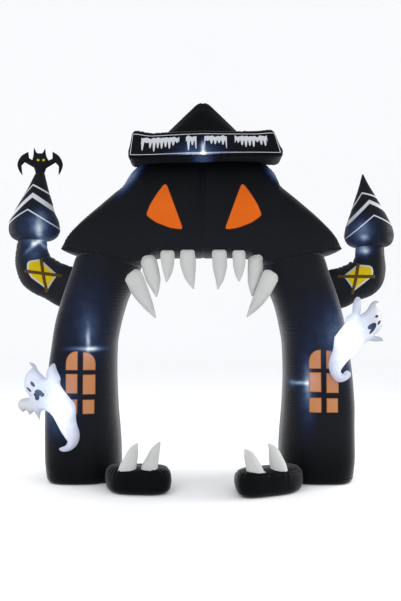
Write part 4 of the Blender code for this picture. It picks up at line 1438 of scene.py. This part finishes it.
def add_lamps(tree, place, lamps, haze):
    """The light of small lamps inside, which shows through the cloth as soft spots and streaks.

    Thin light is deep blue, and strong light is white. The haze is what their light adds to the whole piece.
    """
    light = 0.0
    for x, z, half_x, half_z, turn, brightness in lamps:
        away = ellipse_distance(tree, place, x, z, half_x, half_z, turn)
        squared = add_node(tree, "ShaderNodeMath", {0: away, 1: 2.0}, operation="POWER")
        spot = add_node(tree, "ShaderNodeMath", {0: 1 / math.e, 1: squared}, operation="POWER")
        added = {0: spot, 1: brightness, 2: light}
        light = add_node(tree, "ShaderNodeMath", added, operation="MULTIPLY_ADD")
    wrinkles = {"Vector": place, "Scale": 1 / CRINKLE_SIZE, "Detail": 3.0}
    wrinkle = add_node(tree, "ShaderNodeTexNoise", wrinkles, "Fac")
    dimming = {"Value": wrinkle, 1: NOISE_LOW, 2: NOISE_HIGH, 3: LAMP_UNEVENNESS[0], 4: LAMP_UNEVENNESS[1]}
    dim = add_node(tree, "ShaderNodeMapRange", dimming)
    light = add_node(tree, "ShaderNodeMath", {0: light, 1: dim}, operation="MULTIPLY")
    red, green = [
        add_node(tree, "ShaderNodeMath", {0: light, 1: power}, operation="POWER") for power in LAMP_POWERS
    ]
    glow = add_node(tree, "ShaderNodeCombineXYZ", {0: red, 1: green, 2: light})
    height = add_node(tree, "ShaderNodeSeparateXYZ", {0: place}, "Z")
    gone, full, strength = haze
    even = add_node(tree, "ShaderNodeMapRange", {"Value": height, 1: gone, 2: full, 4: strength})
    even = add_node(tree, "ShaderNodeVectorMath", {0: HAZE_COLOUR, "Scale": even}, operation="SCALE")
    glow = add_node(tree, "ShaderNodeVectorMath", {0: glow, 1: even}, operation="ADD")
    shader = tree.nodes["Principled BSDF"]
    shader.inputs["Emission Strength"].default_value = 1.0
    tree.links.new(glow, shader.inputs["Emission Color"])


def painted(tree, under, mask, colour):
    """Print on the cloth, or the painted shade on the ghosts' rims: the colour where the mask is 1, and what
    is under it elsewhere.
    """
    mixed = add_node(tree, "ShaderNodeMix", {0: mask, 6: under, 7: colour}, 2, data_type="RGBA")
    tree.links.new(mixed, tree.nodes["Principled BSDF"].inputs["Base Color"])
    return mixed


def turret_print(tree, place, under, rows, colour):
    """White chevrons printed round a turret: each is two lines that fall from a peak."""
    x, z = [add_node(tree, "ShaderNodeSeparateXYZ", {0: place}, axis) for axis in "XZ"]
    mask = 0.0
    for peak_x, peak_z, half_height, fall_left, fall_right in rows:
        over = add_node(tree, "ShaderNodeMath", {0: x, 1: peak_x}, operation="SUBTRACT")
        right = add_node(tree, "ShaderNodeMath", {0: over, 1: fall_right}, operation="MULTIPLY")
        left = add_node(tree, "ShaderNodeMath", {0: over, 1: -fall_left}, operation="MULTIPLY")
        fall = add_node(tree, "ShaderNodeMath", {0: right, 1: left}, operation="MAXIMUM")
        height = add_node(tree, "ShaderNodeMath", {0: z, 1: fall}, operation="ADD")
        near = add_node(tree, "ShaderNodeMath", {0: height, 1: peak_z, 2: half_height}, operation="COMPARE")
        mask = add_node(tree, "ShaderNodeMath", {0: mask, 1: near}, operation="MAXIMUM")
    painted(tree, under, mask, colour)


def front_print(tree, place, under, rows, front_y, colour):
    """Eyes and a mouth printed on the front of a flat shape, as ellipses."""
    mask = 0.0
    for row in rows:
        away = ellipse_distance(tree, place, *row)
        spot = add_node(tree, "ShaderNodeMath", {0: away, 1: 1.0}, operation="LESS_THAN")
        mask = add_node(tree, "ShaderNodeMath", {0: mask, 1: spot}, operation="MAXIMUM")
    depth = add_node(tree, "ShaderNodeSeparateXYZ", {0: place}, "Y")
    in_front = add_node(tree, "ShaderNodeMath", {0: depth, 1: front_y}, operation="LESS_THAN")
    mask = add_node(tree, "ShaderNodeMath", {0: mask, 1: in_front}, operation="MULTIPLY")
    painted(tree, under, mask, colour)


def sign_frame(tree, across, up):
    """The mask of a thin line that runs round the sign's face inside its edges."""
    edges = [across, up]
    for socket, size in ((across, SIGN_FACE[0]), (up, SIGN_FACE[1] - FRAME_TOP_INSET + FRAME_INSET)):
        edges.append(add_node(tree, "ShaderNodeMath", {0: size, 1: socket}, operation="SUBTRACT"))
    nearest = edges[0]
    for edge in edges[1:]:
        nearest = add_node(tree, "ShaderNodeMath", {0: nearest, 1: edge}, operation="MINIMUM")
    line = {0: nearest, 1: FRAME_INSET, 2: FRAME_HALF_WIDTH}
    return add_node(tree, "ShaderNodeMath", line, operation="COMPARE")


def sign_drips(tree, across, up):
    """The mask of a wavy band whose paint runs down in drips of many lengths, in a few groups."""
    cells = add_node(tree, "ShaderNodeMath", {0: across, 1: DRIP_PITCH}, operation="DIVIDE")
    cell = add_node(tree, "ShaderNodeMath", {0: cells}, operation="FLOOR")
    chance = add_node(tree, "ShaderNodeTexWhiteNoise", {"W": cell}, "Value", noise_dimensions="1D")
    length = add_node(tree, "ShaderNodeMapRange", {"Value": chance, 3: DRIP_LENGTHS[0], 4: DRIP_LENGTHS[1]})
    # A drip is a bell curve that hangs down in the middle of its cell
    share = add_node(tree, "ShaderNodeMath", {0: cells}, operation="FRACT")
    widths = DRIP_PITCH / DRIP_HALF_WIDTH
    centred = {0: share, 1: widths, 2: -widths / 2}
    beside = add_node(tree, "ShaderNodeMath", centred, operation="MULTIPLY_ADD")
    beside = add_node(tree, "ShaderNodeMath", {0: beside}, operation="ABSOLUTE")
    cubed = add_node(tree, "ShaderNodeMath", {0: beside, 1: 3.0}, operation="POWER")
    bell = add_node(tree, "ShaderNodeMath", {0: 1 / math.e, 1: cubed}, operation="POWER")
    drop = add_node(tree, "ShaderNodeMath", {0: bell, 1: length}, operation="MULTIPLY")
    low = add_node(tree, "ShaderNodeMath", {0: DRIP_BAND[0], 1: drop}, operation="SUBTRACT")
    waves = {"W": across, "Scale": 1 / DRIP_PITCH, "Detail": 0.0}
    wave = add_node(tree, "ShaderNodeTexNoise", waves, "Fac", noise_dimensions="1D")
    rise = {0: wave, 1: DRIP_WAVE, 2: DRIP_BAND[1] - DRIP_WAVE / 2}
    high = add_node(tree, "ShaderNodeMath", rise, operation="MULTIPLY_ADD")
    over_low = add_node(tree, "ShaderNodeMath", {0: up, 1: low}, operation="GREATER_THAN")
    under_high = add_node(tree, "ShaderNodeMath", {0: up, 1: high}, operation="LESS_THAN")
    drip = add_node(tree, "ShaderNodeMath", {0: over_low, 1: under_high}, operation="MULTIPLY")
    in_group = 0.0
    for start, end in DRIP_GROUPS:
        spread = {0: across, 1: (start + end) / 2, 2: (end - start) / 2}
        own = add_node(tree, "ShaderNodeMath", spread, operation="COMPARE")
        in_group = add_node(tree, "ShaderNodeMath", {0: in_group, 1: own}, operation="MAXIMUM")
    return add_node(tree, "ShaderNodeMath", {0: drip, 1: in_group}, operation="MULTIPLY")


def sign_print(tree, under, colour):
    """A thin frame round the sign's face, and white paint that runs down inside it."""
    place = add_node(tree, "ShaderNodeUVMap", output="UV", uv_map=SIGN_MAP)
    across, up = [add_node(tree, "ShaderNodeSeparateXYZ", {0: place}, axis) for axis in "XY"]
    lines = {0: sign_frame(tree, across, up), 1: sign_drips(tree, across, up)}
    mask = add_node(tree, "ShaderNodeMath", lines, operation="MAXIMUM")
    painted(tree, under, mask, colour)


def cloth(name):
    """The material of this name, made the first time it is asked for."""
    return bpy.data.materials.get(f"woven_polyester_{name}") or make_cloth(name)


def make_cloth(name):
    settings = bpy.context.scene.arch_cloth
    if name in BLACK_PIECES:
        sheen = settings.sheen * SHEEN_SHARES.get(name, BLACK_SHEEN_SHARE)
        tree, place, under = woven_polyester(
            name, settings.black, BLACK_MOTTLE, BLACK_ROUGHNESS, settings.shine, sheen, settings.crinkle
        )
        if name in TURRET_PRINTS:
            turret_print(tree, place, under, TURRET_PRINTS[name], settings.print_white)
        if name == "sign_face":
            sign_print(tree, under, settings.print_white)
        if name == "bat":
            front_print(tree, place, under, BAT_EYES, MID_Y, settings.yellow)
    else:
        colour = settings.ghost_white if name in GHOST_PRINTS else getattr(settings, name)
        sheen = settings.sheen * BRIGHT_SHEEN_SHARE
        crinkle = settings.crinkle * BRIGHT_CRINKLE_SHARE
        tree, place, under = woven_polyester(
            name, colour, BRIGHT_MOTTLE, BRIGHT_ROUGHNESS, settings.bright_shine, sheen, crinkle
        )
    if name in GHOST_PRINTS:
        # Painted shade: greyer towards each ghost's seam, by how far its crown stands forward
        depth = add_node(tree, "ShaderNodeSeparateXYZ", {0: place}, "Y")
        shade = add_node(tree, "ShaderNodeMapRange", {"Value": depth, 1: GHOST_SHADE[0], 2: GHOST_SHADE[1]})
        under = painted(tree, under, shade, settings.ghost_edge)
        front_print(tree, place, under, GHOST_PRINTS[name], GHOST_Y, settings.ghost_face)
    if name in LAMPS or name in HAZE:
        add_lamps(tree, place, LAMPS.get(name, ()), HAZE.get(name, NO_HAZE))
    return bpy.data.materials[f"woven_polyester_{name}"]


# What a user would change


def cloth_colour(name, description, hex_colour):
    return bpy.props.FloatVectorProperty(
        name=name, description=description, subtype="COLOR", size=4, default=linear(hex_colour)
    )


class ArchCloth(bpy.types.PropertyGroup):
    """Colours and finish of the cloth."""

    black: cloth_colour("Black", "Dye of the body", "#060709")
    print_white: cloth_colour("Print", "White ink of the prints", "#B9BBC1")
    fang: cloth_colour("Fangs", "Cloth of the fangs", "#BBBBB9")
    eye: cloth_colour("Eyes", "Cloth of the eyes", "#CD5B09")
    eye_hem: cloth_colour("Eye hem", "Stitched hem of the eyes", "#552608")
    pane: cloth_colour("Panes", "Cloth of the panes", "#B57A4C")
    pane_hem: cloth_colour("Pane hem", "Stitched hem of the panes", "#A5683B")
    yellow: cloth_colour("Yellow", "Cloth of the arm windows", "#BBA200")
    hem_white: cloth_colour("Hem", "White hem of the arm windows", "#AFADA7")
    brown: cloth_colour("Brown", "Crossed strips", "#4A360E")
    ghost_white: cloth_colour("Ghost", "Middle of the ghosts", "#C8CACF")
    # Painted shade, not print: the grey laid on the ghosts' rims where their crowns fall back towards the
    # seams
    ghost_edge: cloth_colour("Ghost edge", "Printed edge shade", "#A9A9B2")
    ghost_face: cloth_colour("Ghost face", "Ink of the faces", "#232836")
    sheen: bpy.props.FloatProperty(
        name="Sheen", description="Pale light along the edges", default=0.40, min=0, max=1
    )
    shine: bpy.props.FloatProperty(
        name="Shine", description="How much light the black cloth mirrors", default=0.04, min=0, max=1
    )
    bright_shine: bpy.props.FloatProperty(
        name="Bright shine", description="How much light the other cloths mirror", default=0.12, min=0, max=1
    )
    crinkle: bpy.props.FloatProperty(
        name="Crinkle", description="Strength of the wrinkles", default=0.5, min=0, max=1
    )


class ArchView(bpy.types.PropertyGroup):
    """Lamps and camera of the stage."""

    lens: bpy.props.FloatProperty(
        name="Lens",
        description="Focal length",
        default=40.8,
        min=10,
        subtype="DISTANCE_CAMERA",
        unit="CAMERA",
    )
    distance: bpy.props.FloatProperty(
        name="Distance", description="From the camera to the arch", default=5.475, min=1, unit="LENGTH"
    )
    height: bpy.props.FloatProperty(name="Height", description="Of the camera", default=1.25, unit="LENGTH")
    tilt: bpy.props.FloatProperty(
        name="Tilt", description="Of the camera upwards", default=math.radians(1.64), unit="ROTATION"
    )
    key: bpy.props.FloatProperty(name="Front light", description="Power in watts", default=70, min=0)
    fill: bpy.props.FloatProperty(name="Side lights", description="Power in watts", default=260, min=0)
    room: bpy.props.FloatProperty(
        name="Room light", description="Strength of the surroundings", default=1.08, min=0
    )


class ARCH_OT_roof(bpy.types.Operator):
    """Make the roof, the monster's head"""

    bl_idname = "arch.roof"
    bl_label = "Roof"

    def execute(self, context):
        dress(grid_object("roof_skin", roof_skin(), [cloth("roof")]), "black_fabric", HARD_FILL, "roof")
        return {"FINISHED"}


class ARCH_OT_legs(bpy.types.Operator):
    """Make the two legs, which end at the roof's underside"""

    bl_idname = "arch.legs"
    bl_label = "Legs"

    def execute(self, context):
        roof = bpy.data.objects["roof_skin"]
        for side_name in SIDES:
            leg = grid_object(f"leg_{side_name}_skin", leg_skin(side_name), [cloth(f"leg_{side_name}")])
            press(leg, roof, (0, 0, -1))
            dress(leg, "black_fabric", HARD_FILL, f"leg_{side_name}")
        return {"FINISHED"}


class ARCH_OT_sign(bpy.types.Operator):
    """Make the sign box, with its printed face"""

    bl_idname = "arch.sign"
    bl_label = "Sign box"

    def execute(self, context):
        grid = sign_skin()
        across, up = RING_STEPS["sign"]
        ends = len(END_SCALES)
        is_face = np.zeros((grid.shape[0] - 1, grid.shape[1]))
        is_face[ends:-ends, across : across + up] = 1
        sign = grid_object("sign_box_skin", grid, [cloth("sign_box"), cloth("sign_face")], is_face)
        map_sign_face(sign, grid)
        press(sign, bpy.data.objects["roof_skin"], (0, -1, 0))
        dress(sign, "black_fabric", SOFT_FILL, "sign_box")
        return {"FINISHED"}


class ARCH_OT_turrets(bpy.types.Operator):
    """Make the bent arms and the turret cones on their ends"""

    bl_idname = "arch.turrets"
    bl_label = "Arms and turrets"

    def execute(self, context):
        for side_name, side in SIDES.items():
            cone = grid_object(f"cone_{side_name}_skin", cone_skin(side_name), [cloth(f"cone_{side_name}")])
            dress(cone, "black_fabric", SOFT_FILL, f"cone_{side_name}")
            arm = grid_object(f"arm_{side_name}_skin", arm_skin(side_name), [cloth(f"arm_{side_name}")])
            press(arm, bpy.data.objects[f"leg_{side_name}_skin"], (side, 0, 0))
            press(arm, cone, (0, 0, -1))
            dress(arm, "black_fabric", HARD_FILL, f"arm_{side_name}")
        return {"FINISHED"}


class ARCH_OT_feet(bpy.types.Operator):
    """Make the foot cushions, which carry the lower fangs"""

    bl_idname = "arch.feet"
    bl_label = "Feet"

    def execute(self, context):
        for side_name, side in SIDES.items():
            foot = grid_object(f"foot_{side_name}_skin", foot_skin(side_name), [cloth("foot")])
            press(foot, bpy.data.objects[f"leg_{side_name}_skin"], (-side, 0, 0))
            dress(foot, "black_fabric", SOFT_FILL, f"foot_{side_name}")
        return {"FINISHED"}


class ARCH_OT_fangs(bpy.types.Operator):
    """Make the fangs: eight on the roof and two on each foot"""

    bl_idname = "arch.fangs"
    bl_label = "Fangs"

    def execute(self, context):
        for place, rows in enumerate(UPPER_FANGS):
            half_thickness = CORNER_FANG_HALF_THICKNESS if place in CORNER_FANGS else FANG_HALF_THICKNESS
            y = MID_Y - UPPER_FANG_REACH[place]
            fang = make_fang(f"fang_upper_{place + 1}_skin", rows, y, half_thickness, place)
            if place in CORNER_FANGS:
                leg = bpy.data.objects[f"leg_{CORNER_FANGS[place]}_skin"]
                press(fang, leg, (0, -1, 0), layer_gaps(fang))
            press(fang, bpy.data.objects["roof_skin"], (0, -1, 0), layer_gaps(fang))
            dress(fang, "light_grey_fabric", FLAT_FILL, f"fang_upper_{place + 1}")
        for place, rows in enumerate(LOWER_FANGS):
            y = MID_Y - LOWER_FANG_REACH[place]
            seed = place + LOWER_FANG_SEED
            fang = make_fang(f"fang_lower_{place + 1}_skin", rows, y, FANG_HALF_THICKNESS, seed)
            side_name = "left" if rows[0][0] < 0 else "right"
            press(fang, bpy.data.objects[f"foot_{side_name}_skin"], (0, 0, 1), layer_gaps(fang))
            dress(fang, "light_grey_fabric", FLAT_FILL, f"fang_lower_{place + 1}")
        return {"FINISHED"}


class ARCH_OT_eyes(bpy.types.Operator):
    """Sew the eyes on the roof"""

    bl_idname = "arch.eyes"
    bl_label = "Eyes"

    def execute(self, context):
        roof = bpy.data.objects["roof_skin"]
        for side_name, side in SIDES.items():
            corners = np.array([(EYE_MIDDLE_X + side * x, z) for x, z in EYE_OUTLINE])
            for reach in EYE_ROUNDINGS:
                corners = rounded(corners, reach)
            materials = [cloth("eye"), cloth("eye_hem")]
            eye = patch(f"eye_{side_name}_cloth", hemmed(corners, EYE_HEM), roof, SEAM_GAP, materials)
            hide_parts(f"eye_{side_name}")
        return {"FINISHED"}


class ARCH_OT_panes(bpy.types.Operator):
    """Sew the window panes on the legs"""

    bl_idname = "arch.panes"
    bl_label = "Window panes"

    def execute(self, context):
        for side_name in SIDES:
            leg = bpy.data.objects[f"leg_{side_name}_skin"]
            middle_x, sill = WINDOW_PLACE[side_name]
            for place, (left, right, bottom, top) in enumerate(PANES):
                arch_side = 0 if place >= TOP_PANES else (-1, 1)[place]
                outline = pane_corners(left, right, bottom, top, arch_side)
                corners = [(middle_x + x, sill + z) for x, z in outline]
                name = f"pane_{side_name}_{place + 1}"
                materials = [cloth("pane"), cloth("pane_hem")]
                pane = patch(f"{name}_cloth", hemmed(corners, PANE_HEM), leg, SEAM_GAP, materials)
                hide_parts(name)
        return {"FINISHED"}


class ARCH_OT_arm_windows(bpy.types.Operator):
    """Sew the windows on the arms, each with two crossed strips"""

    bl_idname = "arch.arm_windows"
    bl_label = "Arm windows"

    def execute(self, context):
        for side_name in SIDES:
            arm = bpy.data.objects[f"arm_{side_name}_skin"]
            outlines = hemmed(ARM_WINDOWS[side_name], ARM_WINDOW_HEM)
            materials = [cloth("yellow"), cloth("hem_white")]
            window = patch(f"arm_window_{side_name}_cloth", outlines, arm, SEAM_GAP, materials)
            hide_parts(f"arm_window_{side_name}")
            strips = [straight_outline(strip_corners(*strip), STRIP_STEP) for strip in ARM_STRIPS[side_name]]
            name = f"arm_cross_{side_name}"
            cross = patch(f"{name}_cloth", strips, arm, OVER_PATCH, [cloth("brown")])
            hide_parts(name)
        return {"FINISHED"}


class ARCH_OT_shapes(bpy.types.Operator):
    """Make the flat stuffed shapes: the ghosts on the legs and the bat on the left turret"""

    bl_idname = "arch.shapes"
    bl_label = "Ghosts and bat"

    def execute(self, context):
        for side_name in SIDES:
            ghost = stuffed_shape(
                f"ghost_{side_name}_skin",
                smooth_outline(GHOST_OUTLINES[side_name]),
                GHOST_Y,
                GHOST_HALF_THICKNESS,
                GHOST_RIM,
                SHAPE_SPACING["ghost"],
                cloth(f"ghost_{side_name}"),
                GHOST_SEED,
            )
            gaps = layer_gaps(ghost, OVER_PATCH)
            press(ghost, bpy.data.objects[f"leg_{side_name}_skin"], (0, -1, 0), gaps)
            dress(ghost, "white_fabric", FLAT_FILL, f"ghost_{side_name}")
        bat = stuffed_shape(
            "bat_skin",
            smooth_outline(BAT_OUTLINE),
            MID_Y,
            BAT_HALF_THICKNESS,
            BAT_RIM,
            SHAPE_SPACING["bat"],
            cloth("bat"),
            BAT_SEED,
        )
        press(bat, bpy.data.objects["cone_left_skin"], (0, 0, 1))
        dress(bat, "black_fabric", FLAT_FILL, "bat")
        return {"FINISHED"}


def area_light(name, place, aim, size, power):
    light = bpy.data.lights.new(name, "AREA")
    light.shape = "RECTANGLE"
    light.size, light.size_y = size
    light.energy = power
    made = bpy.data.objects.new(name, light)
    made.location = place
    made.rotation_euler = (Vector(aim) - Vector(place)).to_track_quat("-Z", "Y").to_euler()
    bpy.context.scene.collection.objects.link(made)


def pale_backdrop():
    """A floor that turns up into a wall in one sweep, far behind the arch."""
    turn = np.linspace(0, math.pi / 2, FLOOR_TURN_STEPS)
    side = [(FLOOR_FRONT, 0.0)]
    side += [(FLOOR_BACK + FLOOR_TURN * math.sin(a), FLOOR_TURN * (1 - math.cos(a))) for a in turn]
    side.append((FLOOR_BACK + FLOOR_TURN, WALL_TOP))
    points = [(x, y, z) for y, z in side for x in (-FLOOR_HALF_WIDTH, FLOOR_HALF_WIDTH)]
    faces = [(2 * k, 2 * k + 1, 2 * k + 3, 2 * k + 2) for k in range(len(side) - 1)]
    # Painted studio board: matt, with the fine stipple of a roller
    material = bpy.data.materials.new("rolled_matt_paint")
    material.use_nodes = True
    tree = material.node_tree
    place = add_node(tree, "ShaderNodeTexCoord", output="Object")
    stipple = add_node(tree, "ShaderNodeTexNoise", {"Vector": place, "Scale": 90.0, "Detail": 2.0}, "Fac")
    bump = add_node(tree, "ShaderNodeBump", {"Height": stipple, "Strength": 0.03, "Distance": 0.002})
    shader = tree.nodes["Principled BSDF"]
    shader.inputs["Base Color"].default_value = linear("#FAFAF9")
    shader.inputs["Roughness"].default_value = 0.9
    tree.links.new(bump, shader.inputs["Normal"])
    mesh = bpy.data.meshes.new("backdrop")
    mesh.from_pydata(points, [], faces)
    mesh.materials.append(material)
    mesh.shade_smooth()
    made = bpy.data.objects.new("backdrop", mesh)
    bpy.context.scene.collection.objects.link(made)
    return made


class ARCH_OT_stage(bpy.types.Operator):
    """Make the pale backdrop, the soft lights and the camera"""

    bl_idname = "arch.stage"
    bl_label = "Stage"

    def execute(self, context):
        view = context.scene.arch_view
        pale_backdrop()
        area_light("front_light", *FRONT_LIGHT, view.key)
        (x, *place), aim, size = SIDE_LIGHT
        for side_name, side in SIDES.items():
            power = view.fill * SIDE_LIGHT_SHARES[side_name]
            area_light(f"{side_name}_light", (side * x, *place), aim, size, power)
        world = bpy.data.worlds.new("studio")
        world.use_nodes = True
        background = world.node_tree.nodes["Background"]
        background.inputs["Color"].default_value = linear("#F4F6FA")
        background.inputs["Strength"].default_value = view.room
        context.scene.world = world
        context.scene.view_settings.view_transform = "Standard"
        camera = bpy.data.cameras.new("photo_camera")
        camera.sensor_fit = "VERTICAL"
        camera.sensor_height = SENSOR_HEIGHT
        camera.sensor_width = SENSOR_HEIGHT * PHOTO_SIZE[0] / PHOTO_SIZE[1]
        camera.lens = view.lens
        made = bpy.data.objects.new("photo_camera", camera)
        made.location = (0, MID_Y - view.distance, view.height)
        made.rotation_euler = (math.pi / 2 + view.tilt, 0, 0)
        context.scene.collection.objects.link(made)
        context.scene.camera = made
        return {"FINISHED"}


OPERATORS = (
    ARCH_OT_roof,
    ARCH_OT_legs,
    ARCH_OT_sign,
    ARCH_OT_turrets,
    ARCH_OT_feet,
    ARCH_OT_fangs,
    ARCH_OT_eyes,
    ARCH_OT_panes,
    ARCH_OT_arm_windows,
    ARCH_OT_shapes,
    ARCH_OT_stage,
)


class ARCH_PT_sidebar(bpy.types.Panel):
    """The arch's settings and the steps that make it"""

    bl_idname = "ARCH_PT_sidebar"
    bl_label = "Inflatable arch"
    bl_space_type = "VIEW_3D"
    bl_region_type = "UI"
    bl_category = "Arch"

    def draw(self, context):
        for group in (context.scene.arch_cloth, context.scene.arch_view):
            box = self.layout.box()
            for name in group.__annotations__:
                box.prop(group, name)
        for operator in OPERATORS:
            self.layout.operator(operator.bl_idname)


CLASSES = (ArchCloth, ArchView, *OPERATORS, ARCH_PT_sidebar)


def register():
    for shown in CLASSES:
        bpy.utils.register_class(shown)
    bpy.types.Scene.arch_cloth = bpy.props.PointerProperty(type=ArchCloth)
    bpy.types.Scene.arch_view = bpy.props.PointerProperty(type=ArchView)


def unregister():
    del bpy.types.Scene.arch_view
    del bpy.types.Scene.arch_cloth
    for shown in reversed(CLASSES):
        bpy.utils.unregister_class(shown)


def main():
    register()
    for operator in OPERATORS:
        group, step = operator.bl_idname.split(".")
        getattr(getattr(bpy.ops, group), step)()


if __name__ == "__main__":
    main()
